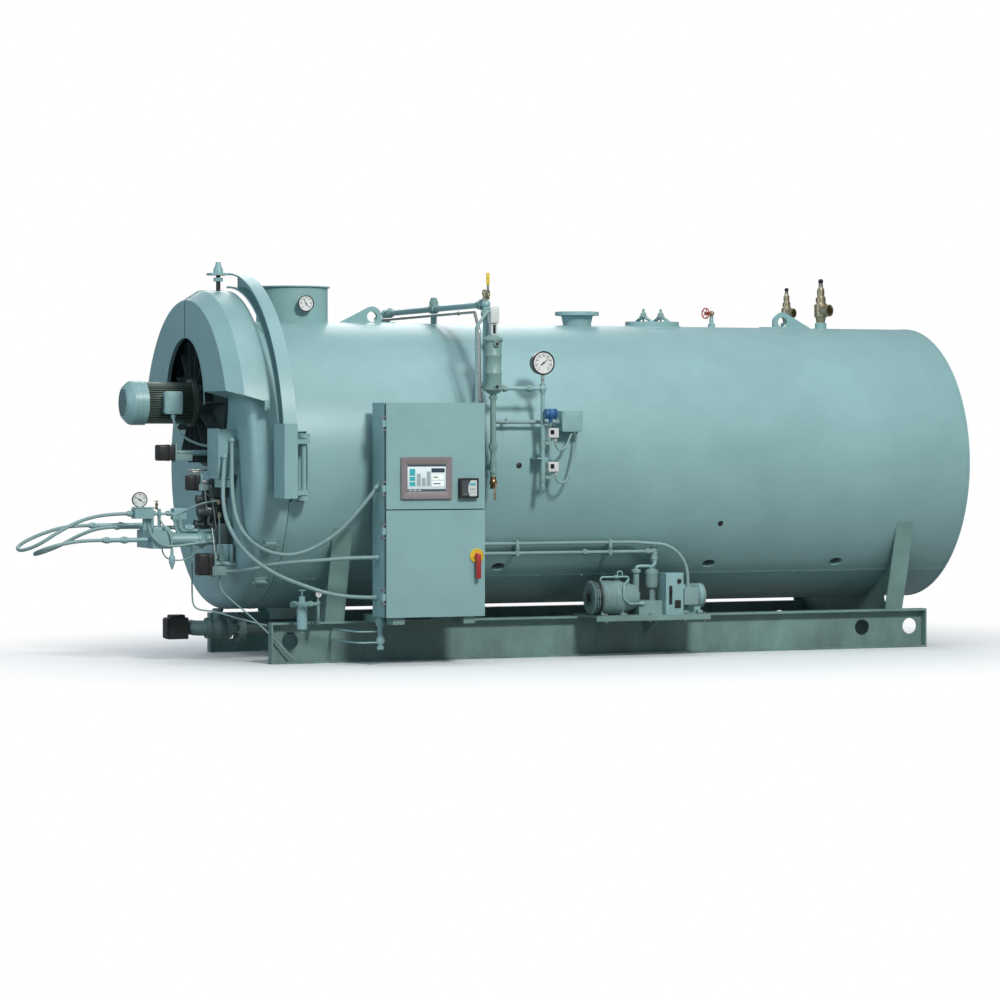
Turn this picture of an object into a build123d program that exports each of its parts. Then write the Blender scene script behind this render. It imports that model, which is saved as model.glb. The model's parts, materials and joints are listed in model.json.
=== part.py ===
# Packaged horizontal fire-tube boiler with a davit-hung burner head.
# Millimetres. X runs along the boiler with the burner head at -X, the control cabinet is on the -Y side,
# Z is up, and the origin is on the floor under the middle cross member of the base.
import os
from math import cos, pi, radians, sin, sqrt, tan

from build123d import *

os.makedirs("parts", exist_ok=True)

# Fits and clearances
seat_gap = 0.3
run_gap = 5
pin_gap = 0.4

# Base frame of two rolled channels
rail_height = 305
rail_length = 5450
rail_spread = 1580
rail_flange = 80
rail_web = 10
rail_flange_thickness = 16
rail_end_plate = 12
rigging_hole = 125
rigging_hole_height = 165
front_rigging_hole_inset = 165
rear_rigging_hole_insets = (115, 540)
beam_height = 203
beam_width = 134
beam_flange = 11
beam_web = 8

# Shell
shell_radius = 1080
shell_wall = 70
axis_height = 1452
shell_front = -2672
shell_rear = 2944
tube_sheet_setback = 40
tube_sheet_thickness = 25
furnace_radius = 430
furnace_wall = 14
furnace_drop = 200
furnace_end = 2400
furnace_end_thickness = 20
rear_head_inset = 10
rear_head_thickness = 30
access_cover_radius = 260
access_cover_thickness = 30

# Saddles under the shell
front_saddle_x = -2238
rear_saddle_x = 2430
saddle_web = 16
saddle_face_width = 150
saddle_face_thickness = 14
saddle_shoulder_height = 1000
saddle_lightening_hole = 45

# Handholes and inspection plugs in the jacket
handhole_stations = (-927, 824, 1925)
handhole_length = 105
handhole_width = 80
handhole_depth = 45
handhole_drop = 45
handhole_cover_thickness = 14
handhole_cover_margin = 8
plug_holes = ((-888, 0), (821, 24.7))
plug_hole = 46
plug_hole_depth = 30

# Top connections
flue_x = -2298
flue_radius = 270
flue_wall = 8
flue_flange_radius = 287
flue_flange_thickness = 8
flue_rise = 264
thermometer_rise = 128
thermometer_radius = 62
thermometer_depth = 30
thermometer_stem = 9
lug_thickness = 32
lug_eye_radius = 78
lug_hole = 80
lug_eye_rise = 48
front_lug_eye_x = -1660
front_lug_toe_x = -1926
rear_lug_eye_x = 1839
rear_lug_toe_x = 2090
nozzle_x = 50
nozzle_bore = 202
nozzle_neck_radius = 110
nozzle_hub_radius = 124
nozzle_flange_radius = 171.5
nozzle_flange_thickness = 28
nozzle_rise = 106
nozzle_bolt_circle = 298.5
nozzle_bolts = 8
nozzle_bolt_hole = 22.4
manway_x = 696
manway_length = 440
manway_width = 340
manway_wall = 24
manway_ring_rise = 36
manway_cover_thickness = 24
manway_yoke_spacing = 150
manway_yoke_width = 26
manway_yoke_rise = 38
manway_yoke_depth = 30
manway_nut_radius = 14
manway_nut_height = 24
vent_x = 1215
vent_turn = 20
vent_pipe_radius = 14
vent_boss_radius = 26
vent_body_rise = 109
vent_body_radius = 22
vent_bonnet_length = 44
vent_stem_radius = 6
wheel_radius = 40
wheel_rim_radius = 5
wheel_offset = 66
wheel_spokes = 5
valve_stations = ((1938, 110), (2190, 0))
valve_scales = (0.8, 1.0)
valve_base_radius = 44
valve_profile = (
    (34, 0),
    (40, 40),
    (52, 55),
    (52, 150),
    (40, 165),
    (40, 205),
    (30, 220),
    (30, 270),
    (14, 300),
    (14, 350),
)
valve_outlet_rise = 100
valve_outlet_radius = 48
valve_outlet_length = 92
valve_outlet_bore = 72
valve_outlet_depth = 60
valve_outlet_lean = 0.45

# Water column and instrument manifold on the near side
trim_y = -1215
riser_y = -1075
column_x = -1150
column_radius = 63
column_lift = 528
column_height = 434
column_cap = 22
column_end = ((0, 34), (12, 50), (26, 60), (30, 74), (42, 74), (46, 63))
cross_pipe_rise = 113
cross_pipe_radius = 24
cross_fitting = 66
switch_box = (66, 70, 118)
switch_box_rise = 88
drop_pipe_radius = 17
drain_drop = 633
drain_tee_rise = 93
column_feed_rise = 66
lever_length = 165
lever_width = 22
lever_thickness = 9
lever_hub_radius = 13
lever_stand_off = 55
top_valve_rise = 67
control_drop = 80
drain_lever_length = 120
manifold_x = -754
manifold_radius = 15
manifold_rise = 42
manifold_length = 729
gauge_rise = 189
gauge_radius = 89
gauge_depth = 48
manifold_bracket_rise = 207
manifold_bracket_thickness = 10
control_size = (85, 62, 74)
control_offset_x = 78
control_window = (30, 34)
control_window_depth = 4
control_lid_groove = 3
control_rises = (400, 148)
control_pipe_radius = 9
transmitter_rise = 541
transmitter_reach = 60
transmitter_offset = 39
transmitter_stem = 12
transmitter_profile = (
    (-46, 33),
    (-42, 36),
    (-28, 36),
    (-26, 31),
    (-16, 40),
    (16, 40),
    (26, 31),
    (28, 36),
    (42, 36),
    (46, 33),
)
side_box_x = -500
side_box_rise = 489
side_box_size = (154, 95, 148)

# Control cabinet
cabinet_left = -2060
cabinet_width = 770
cabinet_back = -1120
cabinet_depth = 280
cabinet_bottom = 358
cabinet_height = 1555
cabinet_wall = 12
door_thickness = 20
door_gasket = 8
door_split = 1138
door_split_gap = 8
hinge_pin_radius = 6
hinge_pin_length = 110
hinge_sleeve_length = 50
hinge_sleeve_wall = 5
hinge_offset = 14
hinge_inset = 150
hinge_ear = 16
mid_rail_height = 40
gland_radius = 20
gland_length = 25
screen_frame = (395, 306)
screen_centre = (-1750, 1367)
screen_frame_depth = 22
screen_glass = (295, 190)
screen_glass_depth = 6
controller_size = (149, 147)
controller_centre = (-1426, 1292)
controller_depth = 40
disconnect_x = -1355
disconnect_z = 798
disconnect_disc_radius = 53
disconnect_disc_depth = 14
disconnect_grip_length = 183
disconnect_grip_width = 34
disconnect_grip_depth = 42
disconnect_shaft_radius = 9
cabinet_arm_stations = (-1950, -1400)
cabinet_arm_width = 90

# Compressor package on the near rail
shelf_left = -285
shelf_right = 660
shelf_reach = 360
shelf_plate = 16
shelf_lip = 40
shelf_gussets = (-120, 262)
shelf_gusset_depth = 150
compressor_x = -92
compressor_y = -985
compressor_radius = 132
compressor_length = 370
compressor_profile = (
    (0, 112),
    (10, 132),
    (46, 132),
    (56, 118),
    (74, 118),
    (80, 128),
    (210, 128),
    (216, 132),
    (236, 132),
    (242, 124),
    (370, 92),
)
filter_stations = (110, 240)
filter_profiles = (
    ((0, 30), (58, 34), (64, 25), (200, 25), (226, 31)),
    ((0, 20), (92, 21), (98, 44), (130, 50), (210, 50), (226, 42)),
)
crankcase = (195, 190, 105)
compressor_box = (138, 150, 312)
compressor_box_x = 361
motor_axis_height = 455
motor_x = 560
motor_radius = 92
motor_length = 205
motor_profile = ((0, 70), (14, 92), (60, 92), (64, 86), (150, 86), (154, 92), (176, 92), (205, 64))
motor_box = (110, 60, 120)
conduit_y = -950
conduit_heights = (867, 795)
conduit_clip_stations = (-850, -90)
conduit_clip_width = 24
conduit_start = -1330
run_radius = 13
muffler_x = 285
muffler_y = -930
muffler_radius = 26
muffler_span = (720, 835)

# Filter regulator and lower gas line
regulator_x = -2530
regulator_y = -905
regulator_bowl_radius = 38
regulator_bowl = (262, 425)
regulator_head_top = 462
regulator_knob_top = 500
gas_y = -120
gas_height = 238
gas_radius = 57
gas_flange_radius = 105
gas_flange_thickness = 44
gas_front = -3090
gas_flange_x = -2780
gas_foot_radius = 75
gas_foot_thickness = 12
gas_actuator = (150, 130, 160)

# Front head and its davit
head_face = -2955
head_edge_radius = 120
head_recess_depth = 40
head_rim = 80
throat_radius = 350
throat_wall = 40
throat_reach = 95
cowl_front = -3141
cowl_band_front = -3028
cowl_rear = -2830
cowl_radius = 1157
cowl_face_radius = 1083
cowl_lift = 148
cowl_opening_radius = 490
cowl_wall = 25
cowl_foot_lift = 397
cowl_foot_slope = 87
blower_lift = 465
inlet_disc_radius = 475
inlet_disc_thickness = 20
inlet_vanes = 14
inlet_vane_radius = 455
inlet_vane_thickness = 8
inlet_vane_depth = 110
inlet_hub_radius = 178
blower_end = -3623
blower_radius = 165
blower_cover_length = 163
blower_body_radius = 138
blower_fins = 36
blower_fin_thickness = 4
blower_fin_height = 16
blower_flange_radius = 176
blower_flange_thickness = 25
terminal_box = (130, 75, 163)
terminal_box_x = -3290
head_box_size = (138, 265, 335)
head_box_corner = (-3093, -700, 1387)
head_gland_offsets = ((88, 253), (33, 133))
davit_pivot_x = -2600
davit_pivot_offset = 70
davit_plane = -2765
davit_width = 100
davit_gap = 168
davit_depth = 112
davit_lift = 78
davit_plate = 14
davit_leg_drop = 227
davit_leg_length = 535
davit_leg_overlap = 30
davit_pin_radius = 20
davit_lug_radius = 45
davit_lug_thickness = 35
davit_lug_rises = (465, 15)
davit_notch_rear = -2545
davit_notch_margin = 30
davit_notch_height = 510
davit_notch_depth = 50
davit_bolt_radius = 15
davit_bolt_x = -2880
davit_bolt_stand_out = 78
davit_pad = (150, 110, 16)
davit_nut_radius = 34
davit_nut_height = 34

# Burner manifold, its pipes and actuators, on the head
manifold_box = (137, 110, 74)
manifold_box_corner = (-3685, -555, 1070)
burner_near_y = -500
burner_far_y = -200
burner_pipe_radius = 17
burner_upper_height = 1015
burner_lower_height = 915
burner_block = (150, 420, 130)
burner_block_corner = (-3555, -560, 850)
burner_plate = (24, 470, 520)
burner_plate_centre = (-330, 1120)
burner_stub_radius = 44
burner_gauge_radius = 58
burner_gauge_depth = 30
burner_gauge_height = 1207
burner_gauge_x = -3640
actuators = (
    ((-3400, -345, 1548), (130, 100, 118)),
    ((-3230, -480, 1328), (95, 90, 112)),
    ((-3190, -640, 735), (120, 110, 158)),
)
actuator_shaft = 20
upper_feed_end = -3935
lower_feed_end = -3915
second_feed_end = -3715
second_feed_y = -265
second_feed_height = 1005
feed_turn = -3480
second_feed_turn = -3520
hose_radius = 13
conduit_radius = 15
lead_radius = 10

# Places worked out from the sizes above
rail_outer = rail_spread / 2
rail_inner = rail_outer - rail_flange
half_rail = rail_length / 2
shell_length = shell_rear - shell_front
shell_bore = shell_radius - shell_wall
shell_top = axis_height + shell_radius
head_back = shell_front - run_gap
furnace_height = axis_height - furnace_drop
tube_sheet_front = shell_front + tube_sheet_setback
cabinet_front = cabinet_back - cabinet_depth
cabinet_right = cabinet_left + cabinet_width
cabinet_top = cabinet_bottom + cabinet_height
door_back = cabinet_front + door_thickness
shelf_top = rail_height + shelf_plate
crankcase_top = shelf_top + crankcase[2]
body_front = door_back + door_gasket
hinge_x = cabinet_left - hinge_offset
hinge_y = cabinet_front + door_thickness / 2
flue_top = shell_top + flue_rise
thermometer_height = shell_top + thermometer_rise
lug_eye_height = shell_top + lug_eye_rise
nozzle_top = shell_top + nozzle_rise
manway_ring_top = shell_top + manway_ring_rise
manway_yoke_top = manway_ring_top + manway_yoke_rise
vent_body_height = shell_top + vent_body_rise
column_bottom = axis_height + column_lift
column_top = column_bottom + column_height
column_feed_height = column_bottom + column_feed_rise
switch_box_bottom = column_top + switch_box_rise
cross_pipe_height = shell_top + cross_pipe_rise
top_valve_height = cross_pipe_height + top_valve_rise
drain_height = column_bottom - drain_drop
drain_tee_height = drain_height + drain_tee_rise
manifold_top = column_bottom + manifold_rise
manifold_bottom = manifold_top - manifold_length
gauge_height = manifold_top + gauge_rise
manifold_bracket_height = manifold_bottom + manifold_bracket_rise
control_heights = [manifold_bottom + rise for rise in control_rises]
transmitter_height = manifold_bottom + transmitter_rise
side_box_height = manifold_bottom + side_box_rise
davit_pivot_y = -shell_radius - davit_pivot_offset
davit_leg_inner = davit_pivot_y + davit_leg_overlap
davit_outer_radius = shell_radius + davit_gap + davit_depth
davit_centre_height = axis_height + davit_lift
davit_leg_bottom = axis_height - davit_leg_drop
davit_leg_top = davit_leg_bottom + davit_leg_length
davit_lug_heights = [davit_leg_bottom + rise for rise in davit_lug_rises]
davit_notch_bottom = davit_leg_bottom - davit_notch_margin
davit_notch_top = davit_notch_bottom + davit_notch_height
cowl_centre_height = axis_height + cowl_lift
cowl_foot_front = cowl_centre_height + cowl_foot_lift
cowl_foot_rear = cowl_foot_front - cowl_foot_slope
blower_height = axis_height + blower_lift
shell_axis = Axis((0, 0, axis_height), (1, 0, 0))

# Flexible runs, as steps from the fitting where each half starts
upper_run_steps = (
    (
        (-15, -40, -195), (-25, -80, -395), (-10, -130, -580),
        (60, -185, -715), (175, -255, -805), (330, -335, -840),
    ),
    ((-415, 125, -425), (-235, 65, -295), (-105, 25, -135), (0, 0, 0)),
)
lower_run_steps = (
    (
        (-25, -40, -155), (-38, -75, -330), (-22, -113, -475),
        (50, -160, -630), (155, -225, -755), (310, -305, -862),
    ),
    ((-500, 113, 90), (-320, 53, 27), (-135, 23, 2), (0, 0, 0)),
)
upper_hose_steps = (
    (
        (0, 0, 0), (-175, 0, 0), (-370, 0, -35), (-555, -5, -122),
        (-710, -10, -222), (-815, 90, -267), (-815, 230, -247),
    ),
    ((-465, 30, -105), (-325, 18, -47), (-155, 0, 0), (0, 0, 0)),
)
lower_hose_steps = (
    ((0, 0, 0), (-145, 0, 0), (-305, 13, -55), (-440, 25, -130), (-560, 35, -177), (-663, -40, -197)),
    ((-477, 65, -83), (-385, -28, -40), (-255, -18, -13), (-120, 0, 0), (0, 0, 0)),
)
lead_steps = (
    ((0, 0, 0), (0, 0, -80), (65, -45, -175), (170, -100, -230)),
    ((0, 80, 0), (0, 0, 0)),
)
lead_inset = 63
lead_drop = 245
cabinet_gland_places = ((-1255, 1285), (-1213, 498), (-1255, 790))
drive_run_steps = (
    ((0, 0, 0), (60, 0, 0), (150, -80, 4), (240, -190, 18), (330, -290, 53), (440, -375, 73)),
    ((-415, 135, -22), (-215, 60, -5), (-85, 15, 0), (0, 0, 0)),
)
drive_gland_offset = (-20, -53)


def shell_half_width(height):
    return sqrt(shell_radius**2 - (height - axis_height) ** 2)


def on_shell(x, drop):
    """Plane that touches the near side of the shell, drop degrees below the horizontal through its axis."""
    angle = radians(drop)
    outward = (0, -cos(angle), -sin(angle))
    return Plane(
        origin=(x, outward[1] * shell_radius, axis_height + outward[2] * shell_radius),
        x_dir=(1, 0, 0),
        z_dir=outward,
    )


def bar(place, radius, length):
    """Round bar that starts on a plane and runs along its normal."""
    with BuildSketch(place) as section:
        Circle(radius)
    extrude(section.sketch, amount=length)


def upright(x, y, bottom, top, radius):
    """Vertical round bar between two heights."""
    bar(Plane(origin=(x, y, bottom)), radius, top - bottom)


def block(corner, size):
    """Box from its lowest corner."""
    with Locations(corner):
        Box(*size, align=(Align.MIN, Align.MIN, Align.MIN))


def pipe(points, radius, bend):
    """Round pipe along straight runs joined by bends of one radius."""
    with BuildLine() as route:
        FilletPolyline(*points, radius=bend)
    with BuildSketch(Plane(origin=route.line @ 0, z_dir=route.line % 0)) as section:
        Circle(radius)
    sweep(sections=section.sketch, path=route.line)


def turned(base, direction, profile):
    """Turned form: steps along an axis, each with its radius."""
    direction = Vector(*direction)
    across = Vector(1, 0, 0) if abs(direction.Z) > 0.5 else Vector(0, 0, 1)
    with BuildSketch(Plane(origin=base, x_dir=direction, z_dir=direction.cross(across))) as half:
        with BuildLine():
            Polyline((profile[0][0], 0), *profile, (profile[-1][0], 0), close=True)
        make_face()
    revolve(half.sketch, axis=Axis(base, direction))


def dial(place, radius, depth):
    """Round dial case with a bezel round its sunk face."""
    profile = (
        (0, 0.8 * radius),
        (0.12 * depth, 0.93 * radius),
        (0.6 * depth, 0.95 * radius),
        (0.7 * depth, radius),
        (depth, radius),
        (depth, 0.88 * radius),
        (0.86 * depth, 0.88 * radius),
    )
    turned(place.origin, place.z_dir, profile)


def cut_to_shell():
    """Takes away what reaches inside the jacket, so a fitting sits on its curve."""
    with BuildSketch(Plane.YZ.offset(shell_front - shell_length)) as section:
        with Locations((0, axis_height)):
            Circle(shell_radius + seat_gap)
    extrude(section.sketch, amount=3 * shell_length, mode=Mode.SUBTRACT)


def cord_radii(name, points):
    """Largest bends that the runs of a hanging cord allow."""
    runs = [Vector(*b) - Vector(*a) for a, b in zip(points, points[1:])]
    radii = []
    for before, after in zip(runs, runs[1:]):
        turn = radians(before.get_angle(after))
        radii.append(0.45 * min(before.length, after.length) / tan(turn / 2))
    print(name, "bend radii", [round(r) for r in radii])
    return radii


def stepped(starts, steps):
    """Points of a flexible run, each half given as steps from its own fitting."""
    return [Vector(*start) + Vector(*step) for start, half in zip(starts, steps) for step in half]


def cord(name, points, radius):
    """Hanging cord as one tube along its route."""
    with BuildPart() as tube:
        with BuildLine() as route:
            FilletPolyline(*points, radius=cord_radii(name, points))
        with BuildSketch(Plane(origin=route.line @ 0, z_dir=route.line % 0)):
            Circle(radius)
        sweep()
    length = route.wire().length
    share = tube.part.volume / (length * pi * radius**2)
    print(name, "length", round(length), "share of a straight bar's volume", round(share, 4))
    save(tube, name)


def save(piece, name):
    piece.part.label = name
    export_step(piece.part, f"parts/{name}.step")


# Base rails: channels that open outwards, closed by a plate at each end, with rigging holes through the webs
with BuildPart() as base_rails:
    with BuildSketch(Plane.YZ.offset(-half_rail)):
        with Locations((-rail_outer + rail_flange / 2, rail_height / 2)):
            Rectangle(rail_flange, rail_height)
        with Locations((-rail_outer + (rail_flange - rail_web) / 2, rail_height / 2)):
            Rectangle(rail_flange - rail_web, rail_height - 2 * rail_flange_thickness, mode=Mode.SUBTRACT)
    extrude(amount=rail_length)
    for end in (-half_rail, half_rail - rail_end_plate):
        block((end, -rail_outer, 0), (rail_end_plate, rail_flange, rail_height))
    hole_places = [-half_rail + front_rigging_hole_inset]
    hole_places += [half_rail - inset for inset in rear_rigging_hole_insets]
    with BuildSketch(Plane.XZ.offset(rail_inner - rail_web)):
        with Locations(*[(x, rigging_hole_height) for x in hole_places]):
            Circle(rigging_hole / 2)
    extrude(amount=2 * rail_web, mode=Mode.SUBTRACT)
    mirror(about=Plane.XZ)
save(base_rails, "base_rails")

# Cross members: wide-flange beams between the rails, under the saddles and at the middle
with BuildPart() as base_cross_members:
    for x in (front_saddle_x, 0, rear_saddle_x):
        with BuildSketch(Plane.XZ.offset(-rail_inner)) as beam:
            with Locations((x, beam_height / 2)):
                Rectangle(beam_width, beam_height)
            for side in (-1, 1):
                with Locations((x + side * (beam_width + beam_web) / 4, beam_height / 2)):
                    Rectangle((beam_width - beam_web) / 2, beam_height - 2 * beam_flange, mode=Mode.SUBTRACT)
        extrude(amount=2 * rail_inner)
save(base_cross_members, "base_cross_members")

# Saddles: a cradle plate across the base with a leaning face plate down each side
shoulder = shell_half_width(saddle_shoulder_height)
with BuildPart() as shell_saddles:
    for x in (front_saddle_x, rear_saddle_x):
        with BuildSketch(Plane.YZ.offset(x - saddle_web / 2)):
            with BuildLine():
                Polyline(
                    (-rail_inner, beam_height),
                    (-rail_inner, rail_height),
                    (-rail_outer, rail_height),
                    (-shoulder, saddle_shoulder_height),
                    (shoulder, saddle_shoulder_height),
                    (rail_outer, rail_height),
                    (rail_inner, rail_height),
                    (rail_inner, beam_height),
                    close=True,
                )
            make_face()
            for side in (-1, 1):
                hole_y = side * (rail_inner - saddle_lightening_hole)
                with Locations((hole_y, rail_height + 2 * saddle_lightening_hole)):
                    Circle(saddle_lightening_hole, mode=Mode.SUBTRACT)
        extrude(amount=saddle_web)
        with BuildSketch(Plane.YZ.offset(x - saddle_face_width / 2)):
            for side in (-1, 1):
                with BuildLine():
                    Polyline(
                        (side * rail_outer, rail_height),
                        (side * shoulder, saddle_shoulder_height),
                        (side * (shoulder - saddle_face_thickness), saddle_shoulder_height),
                        (side * (rail_outer - saddle_face_thickness), rail_height),
                        close=True,
                    )
                make_face()
        extrude(amount=saddle_face_width)
    cut_to_shell()
save(shell_saddles, "shell_saddles")

# Shell: vessel, insulation and jacket as one thick tube, open at its connections, with handhole pockets
with BuildPart() as boiler_shell:
    with BuildSketch(Plane.YZ.offset(shell_front)):
        with Locations((0, axis_height)):
            Circle(shell_radius)
            Circle(shell_bore, mode=Mode.SUBTRACT)
    extrude(amount=shell_length)
    with BuildSketch(Plane.XY.offset(axis_height)) as connections:
        with Locations((flue_x, 0)):
            Circle(flue_radius - flue_wall)
        with Locations((nozzle_x, 0)):
            Circle(nozzle_bore / 2)
        with Locations((manway_x, 0)):
            Ellipse(manway_length / 2 - manway_wall, manway_width / 2 - manway_wall)
    extrude(amount=2 * shell_radius, mode=Mode.SUBTRACT)
    for x in handhole_stations:
        for place in (on_shell(x, handhole_drop), on_shell(x, 180 - handhole_drop)):
            with BuildSketch(place):
                Ellipse(handhole_length / 2, handhole_width / 2)
            extrude(amount=handhole_depth, both=True, mode=Mode.SUBTRACT)
    for x, drop in plug_holes:
        with BuildSketch(on_shell(x, drop)):
            Circle(plug_hole / 2)
        extrude(amount=plug_hole_depth, both=True, mode=Mode.SUBTRACT)
    with Locations((shell_front, -shell_radius, davit_notch_bottom)):
        Box(
            2 * (davit_notch_rear - shell_front),
            2 * davit_notch_depth,
            davit_notch_top - davit_notch_bottom,
            align=(Align.CENTER, Align.CENTER, Align.MIN),
            mode=Mode.SUBTRACT,
        )
save(boiler_shell, "boiler_shell")

# Handhole covers, flat on the floors of their pockets
with BuildPart() as handhole_covers:
    for x in handhole_stations:
        for drop in (handhole_drop, 180 - handhole_drop):
            floor = on_shell(x, drop).offset(-handhole_depth)
            with BuildSketch(floor):
                Ellipse(
                    handhole_length / 2 - handhole_cover_margin,
                    handhole_width / 2 - handhole_cover_margin,
                )
            extrude(amount=handhole_cover_thickness)
            bar(floor.offset(handhole_cover_thickness), handhole_cover_margin, handhole_cover_thickness)
save(handhole_covers, "handhole_covers")

# Front tube sheet and the furnace tube that opens through it
with BuildPart() as front_tube_sheet:
    with BuildSketch(Plane.YZ.offset(tube_sheet_front)):
        with Locations((0, axis_height)):
            Circle(shell_bore - seat_gap)
        with Locations((0, furnace_height)):
            Circle(furnace_radius + seat_gap, mode=Mode.SUBTRACT)
    extrude(amount=tube_sheet_thickness)
save(front_tube_sheet, "front_tube_sheet")

with BuildPart() as furnace_tube:
    with BuildSketch(Plane.YZ.offset(tube_sheet_front)):
        with Locations((0, furnace_height)):
            Circle(furnace_radius)
            Circle(furnace_radius - furnace_wall, mode=Mode.SUBTRACT)
    extrude(amount=furnace_end - tube_sheet_front)
    with BuildSketch(Plane.YZ.offset(furnace_end)):
        with Locations((0, furnace_height)):
            Circle(furnace_radius)
    extrude(amount=furnace_end_thickness)
save(furnace_tube, "furnace_tube")

# Rear head, set into the shell, with a round access cover
rear_face = shell_rear - rear_head_inset
with BuildPart() as rear_head:
    with BuildSketch(Plane.YZ.offset(rear_face - rear_head_thickness)):
        with Locations((0, axis_height)):
            Circle(shell_bore - seat_gap)
    extrude(amount=rear_head_thickness)
    with BuildSketch(Plane.YZ.offset(rear_face)):
        with Locations((0, axis_height)):
            Circle(access_cover_radius)
    extrude(amount=access_cover_thickness)
save(rear_head, "rear_head")

# Flue collar on top of the shell
with BuildPart() as flue_collar:
    with BuildSketch(Plane.XY.offset(axis_height)):
        with Locations((flue_x, 0)):
            Circle(flue_radius)
    extrude(amount=flue_top - axis_height)
    with BuildSketch(Plane.XY.offset(flue_top - flue_flange_thickness)):
        with Locations((flue_x, 0)):
            Circle(flue_flange_radius)
    extrude(amount=flue_flange_thickness)
    with BuildSketch(Plane.XY.offset(axis_height)):
        with Locations((flue_x, 0)):
            Circle(flue_radius - flue_wall)
    extrude(amount=flue_top - axis_height, mode=Mode.SUBTRACT)
    cut_to_shell()
save(flue_collar, "flue_collar")

# Lifting lugs along the top of the shell, each a plate with an eye
with BuildPart() as lifting_lugs:
    for eye_x, toe_x in ((front_lug_eye_x, front_lug_toe_x), (rear_lug_eye_x, rear_lug_toe_x)):
        heel_x = eye_x + (lug_eye_radius if toe_x < eye_x else -lug_eye_radius)
        with BuildSketch(Plane.XZ.offset(-lug_thickness / 2)):
            with Locations((eye_x, lug_eye_height)):
                Circle(lug_eye_radius)
            with Locations(((heel_x + toe_x) / 2, shell_top - lug_thickness / 4)):
                Rectangle(abs(toe_x - heel_x), lug_thickness / 2)
            make_hull()
            with Locations((eye_x, lug_eye_height)):
                Circle(lug_hole / 2, mode=Mode.SUBTRACT)
        extrude(amount=lug_thickness)
    cut_to_shell()
save(lifting_lugs, "lifting_lugs")

# Steam nozzle: a welding-neck flange with eight bolt holes
with BuildPart() as steam_nozzle:
    with BuildSketch(Plane.XZ):
        with BuildLine():
            Polyline(
                (nozzle_x + nozzle_bore / 2, axis_height),
                (nozzle_x + nozzle_neck_radius, axis_height),
                (nozzle_x + nozzle_neck_radius, shell_top + nozzle_flange_thickness / 2),
                (nozzle_x + nozzle_hub_radius, nozzle_top - nozzle_flange_thickness),
                (nozzle_x + nozzle_flange_radius, nozzle_top - nozzle_flange_thickness),
                (nozzle_x + nozzle_flange_radius, nozzle_top),
                (nozzle_x + nozzle_bore / 2, nozzle_top),
                close=True,
            )
        make_face()
    revolve(axis=Axis((nozzle_x, 0, 0), (0, 0, 1)))
    with BuildSketch(Plane.XY.offset(nozzle_top)):
        with Locations((nozzle_x, 0)):
            with PolarLocations(nozzle_bolt_circle / 2, nozzle_bolts, start_angle=180 / nozzle_bolts):
                Circle(nozzle_bolt_hole / 2)
    extrude(amount=-nozzle_flange_thickness, mode=Mode.SUBTRACT)
    cut_to_shell()
save(steam_nozzle, "steam_nozzle")

# Manway: an oval ring with its cover and two arched yokes
with BuildPart() as manway_ring:
    with BuildSketch(Plane.XY.offset(axis_height)):
        with Locations((manway_x, 0)):
            Ellipse(manway_length / 2, manway_width / 2)
            Ellipse(manway_length / 2 - manway_wall, manway_width / 2 - manway_wall, mode=Mode.SUBTRACT)
    extrude(amount=manway_ring_top - axis_height)
    cut_to_shell()
save(manway_ring, "manway_ring")

with BuildPart() as manway_cover:
    with BuildSketch(Plane.XY.offset(manway_ring_top - manway_cover_thickness)):
        with Locations((manway_x, 0)):
            Ellipse(
                manway_length / 2 - manway_wall - seat_gap,
                manway_width / 2 - manway_wall - seat_gap,
            )
    extrude(amount=manway_cover_thickness)
    for x in (manway_x - manway_yoke_spacing / 2, manway_x + manway_yoke_spacing / 2):
        reach = (manway_width / 2 - manway_wall / 2) * sqrt(1 - (manway_yoke_spacing / manway_length) ** 2)
        with BuildSketch(Plane.YZ.offset(x - manway_yoke_width / 2)):
            with BuildLine():
                ThreePointArc((-reach, manway_ring_top), (0, manway_yoke_top), (reach, manway_ring_top))
                Line((reach, manway_ring_top), (reach - manway_yoke_depth, manway_ring_top))
                ThreePointArc(
                    (reach - manway_yoke_depth, manway_ring_top),
                    (0, manway_yoke_top - manway_yoke_depth / 2),
                    (-reach + manway_yoke_depth, manway_ring_top),
                )
                Line((-reach + manway_yoke_depth, manway_ring_top), (-reach, manway_ring_top))
            make_face()
        extrude(amount=manway_yoke_width)
        nut_foot = manway_yoke_top - manway_yoke_depth / 4
        upright(x, 0, nut_foot, manway_yoke_top + manway_nut_height, manway_nut_radius)
        upright(x, 0, manway_ring_top, manway_yoke_top, manway_nut_radius / 2)
save(manway_cover, "manway_cover")

# Vent valve on a boss, its bonnet turned towards the front, with a handwheel on the stem
vent_axis = Vector(-cos(radians(vent_turn)), -sin(radians(vent_turn)), 0)
vent_place = Plane(origin=(vent_x, 0, vent_body_height), z_dir=vent_axis)
with BuildPart() as vent_valve:
    upright(vent_x, 0, axis_height, shell_top + vent_boss_radius, vent_boss_radius)
    upright(vent_x, 0, shell_top, vent_body_height, vent_pipe_radius)
    with Locations((vent_x, 0, vent_body_height)):
        Sphere(vent_body_radius)
    bar(vent_place, vent_body_radius * 0.7, vent_bonnet_length)
    bar(vent_place, vent_stem_radius, wheel_offset + 2 * wheel_rim_radius)
    cut_to_shell()
save(vent_valve, "vent_valve")

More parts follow.
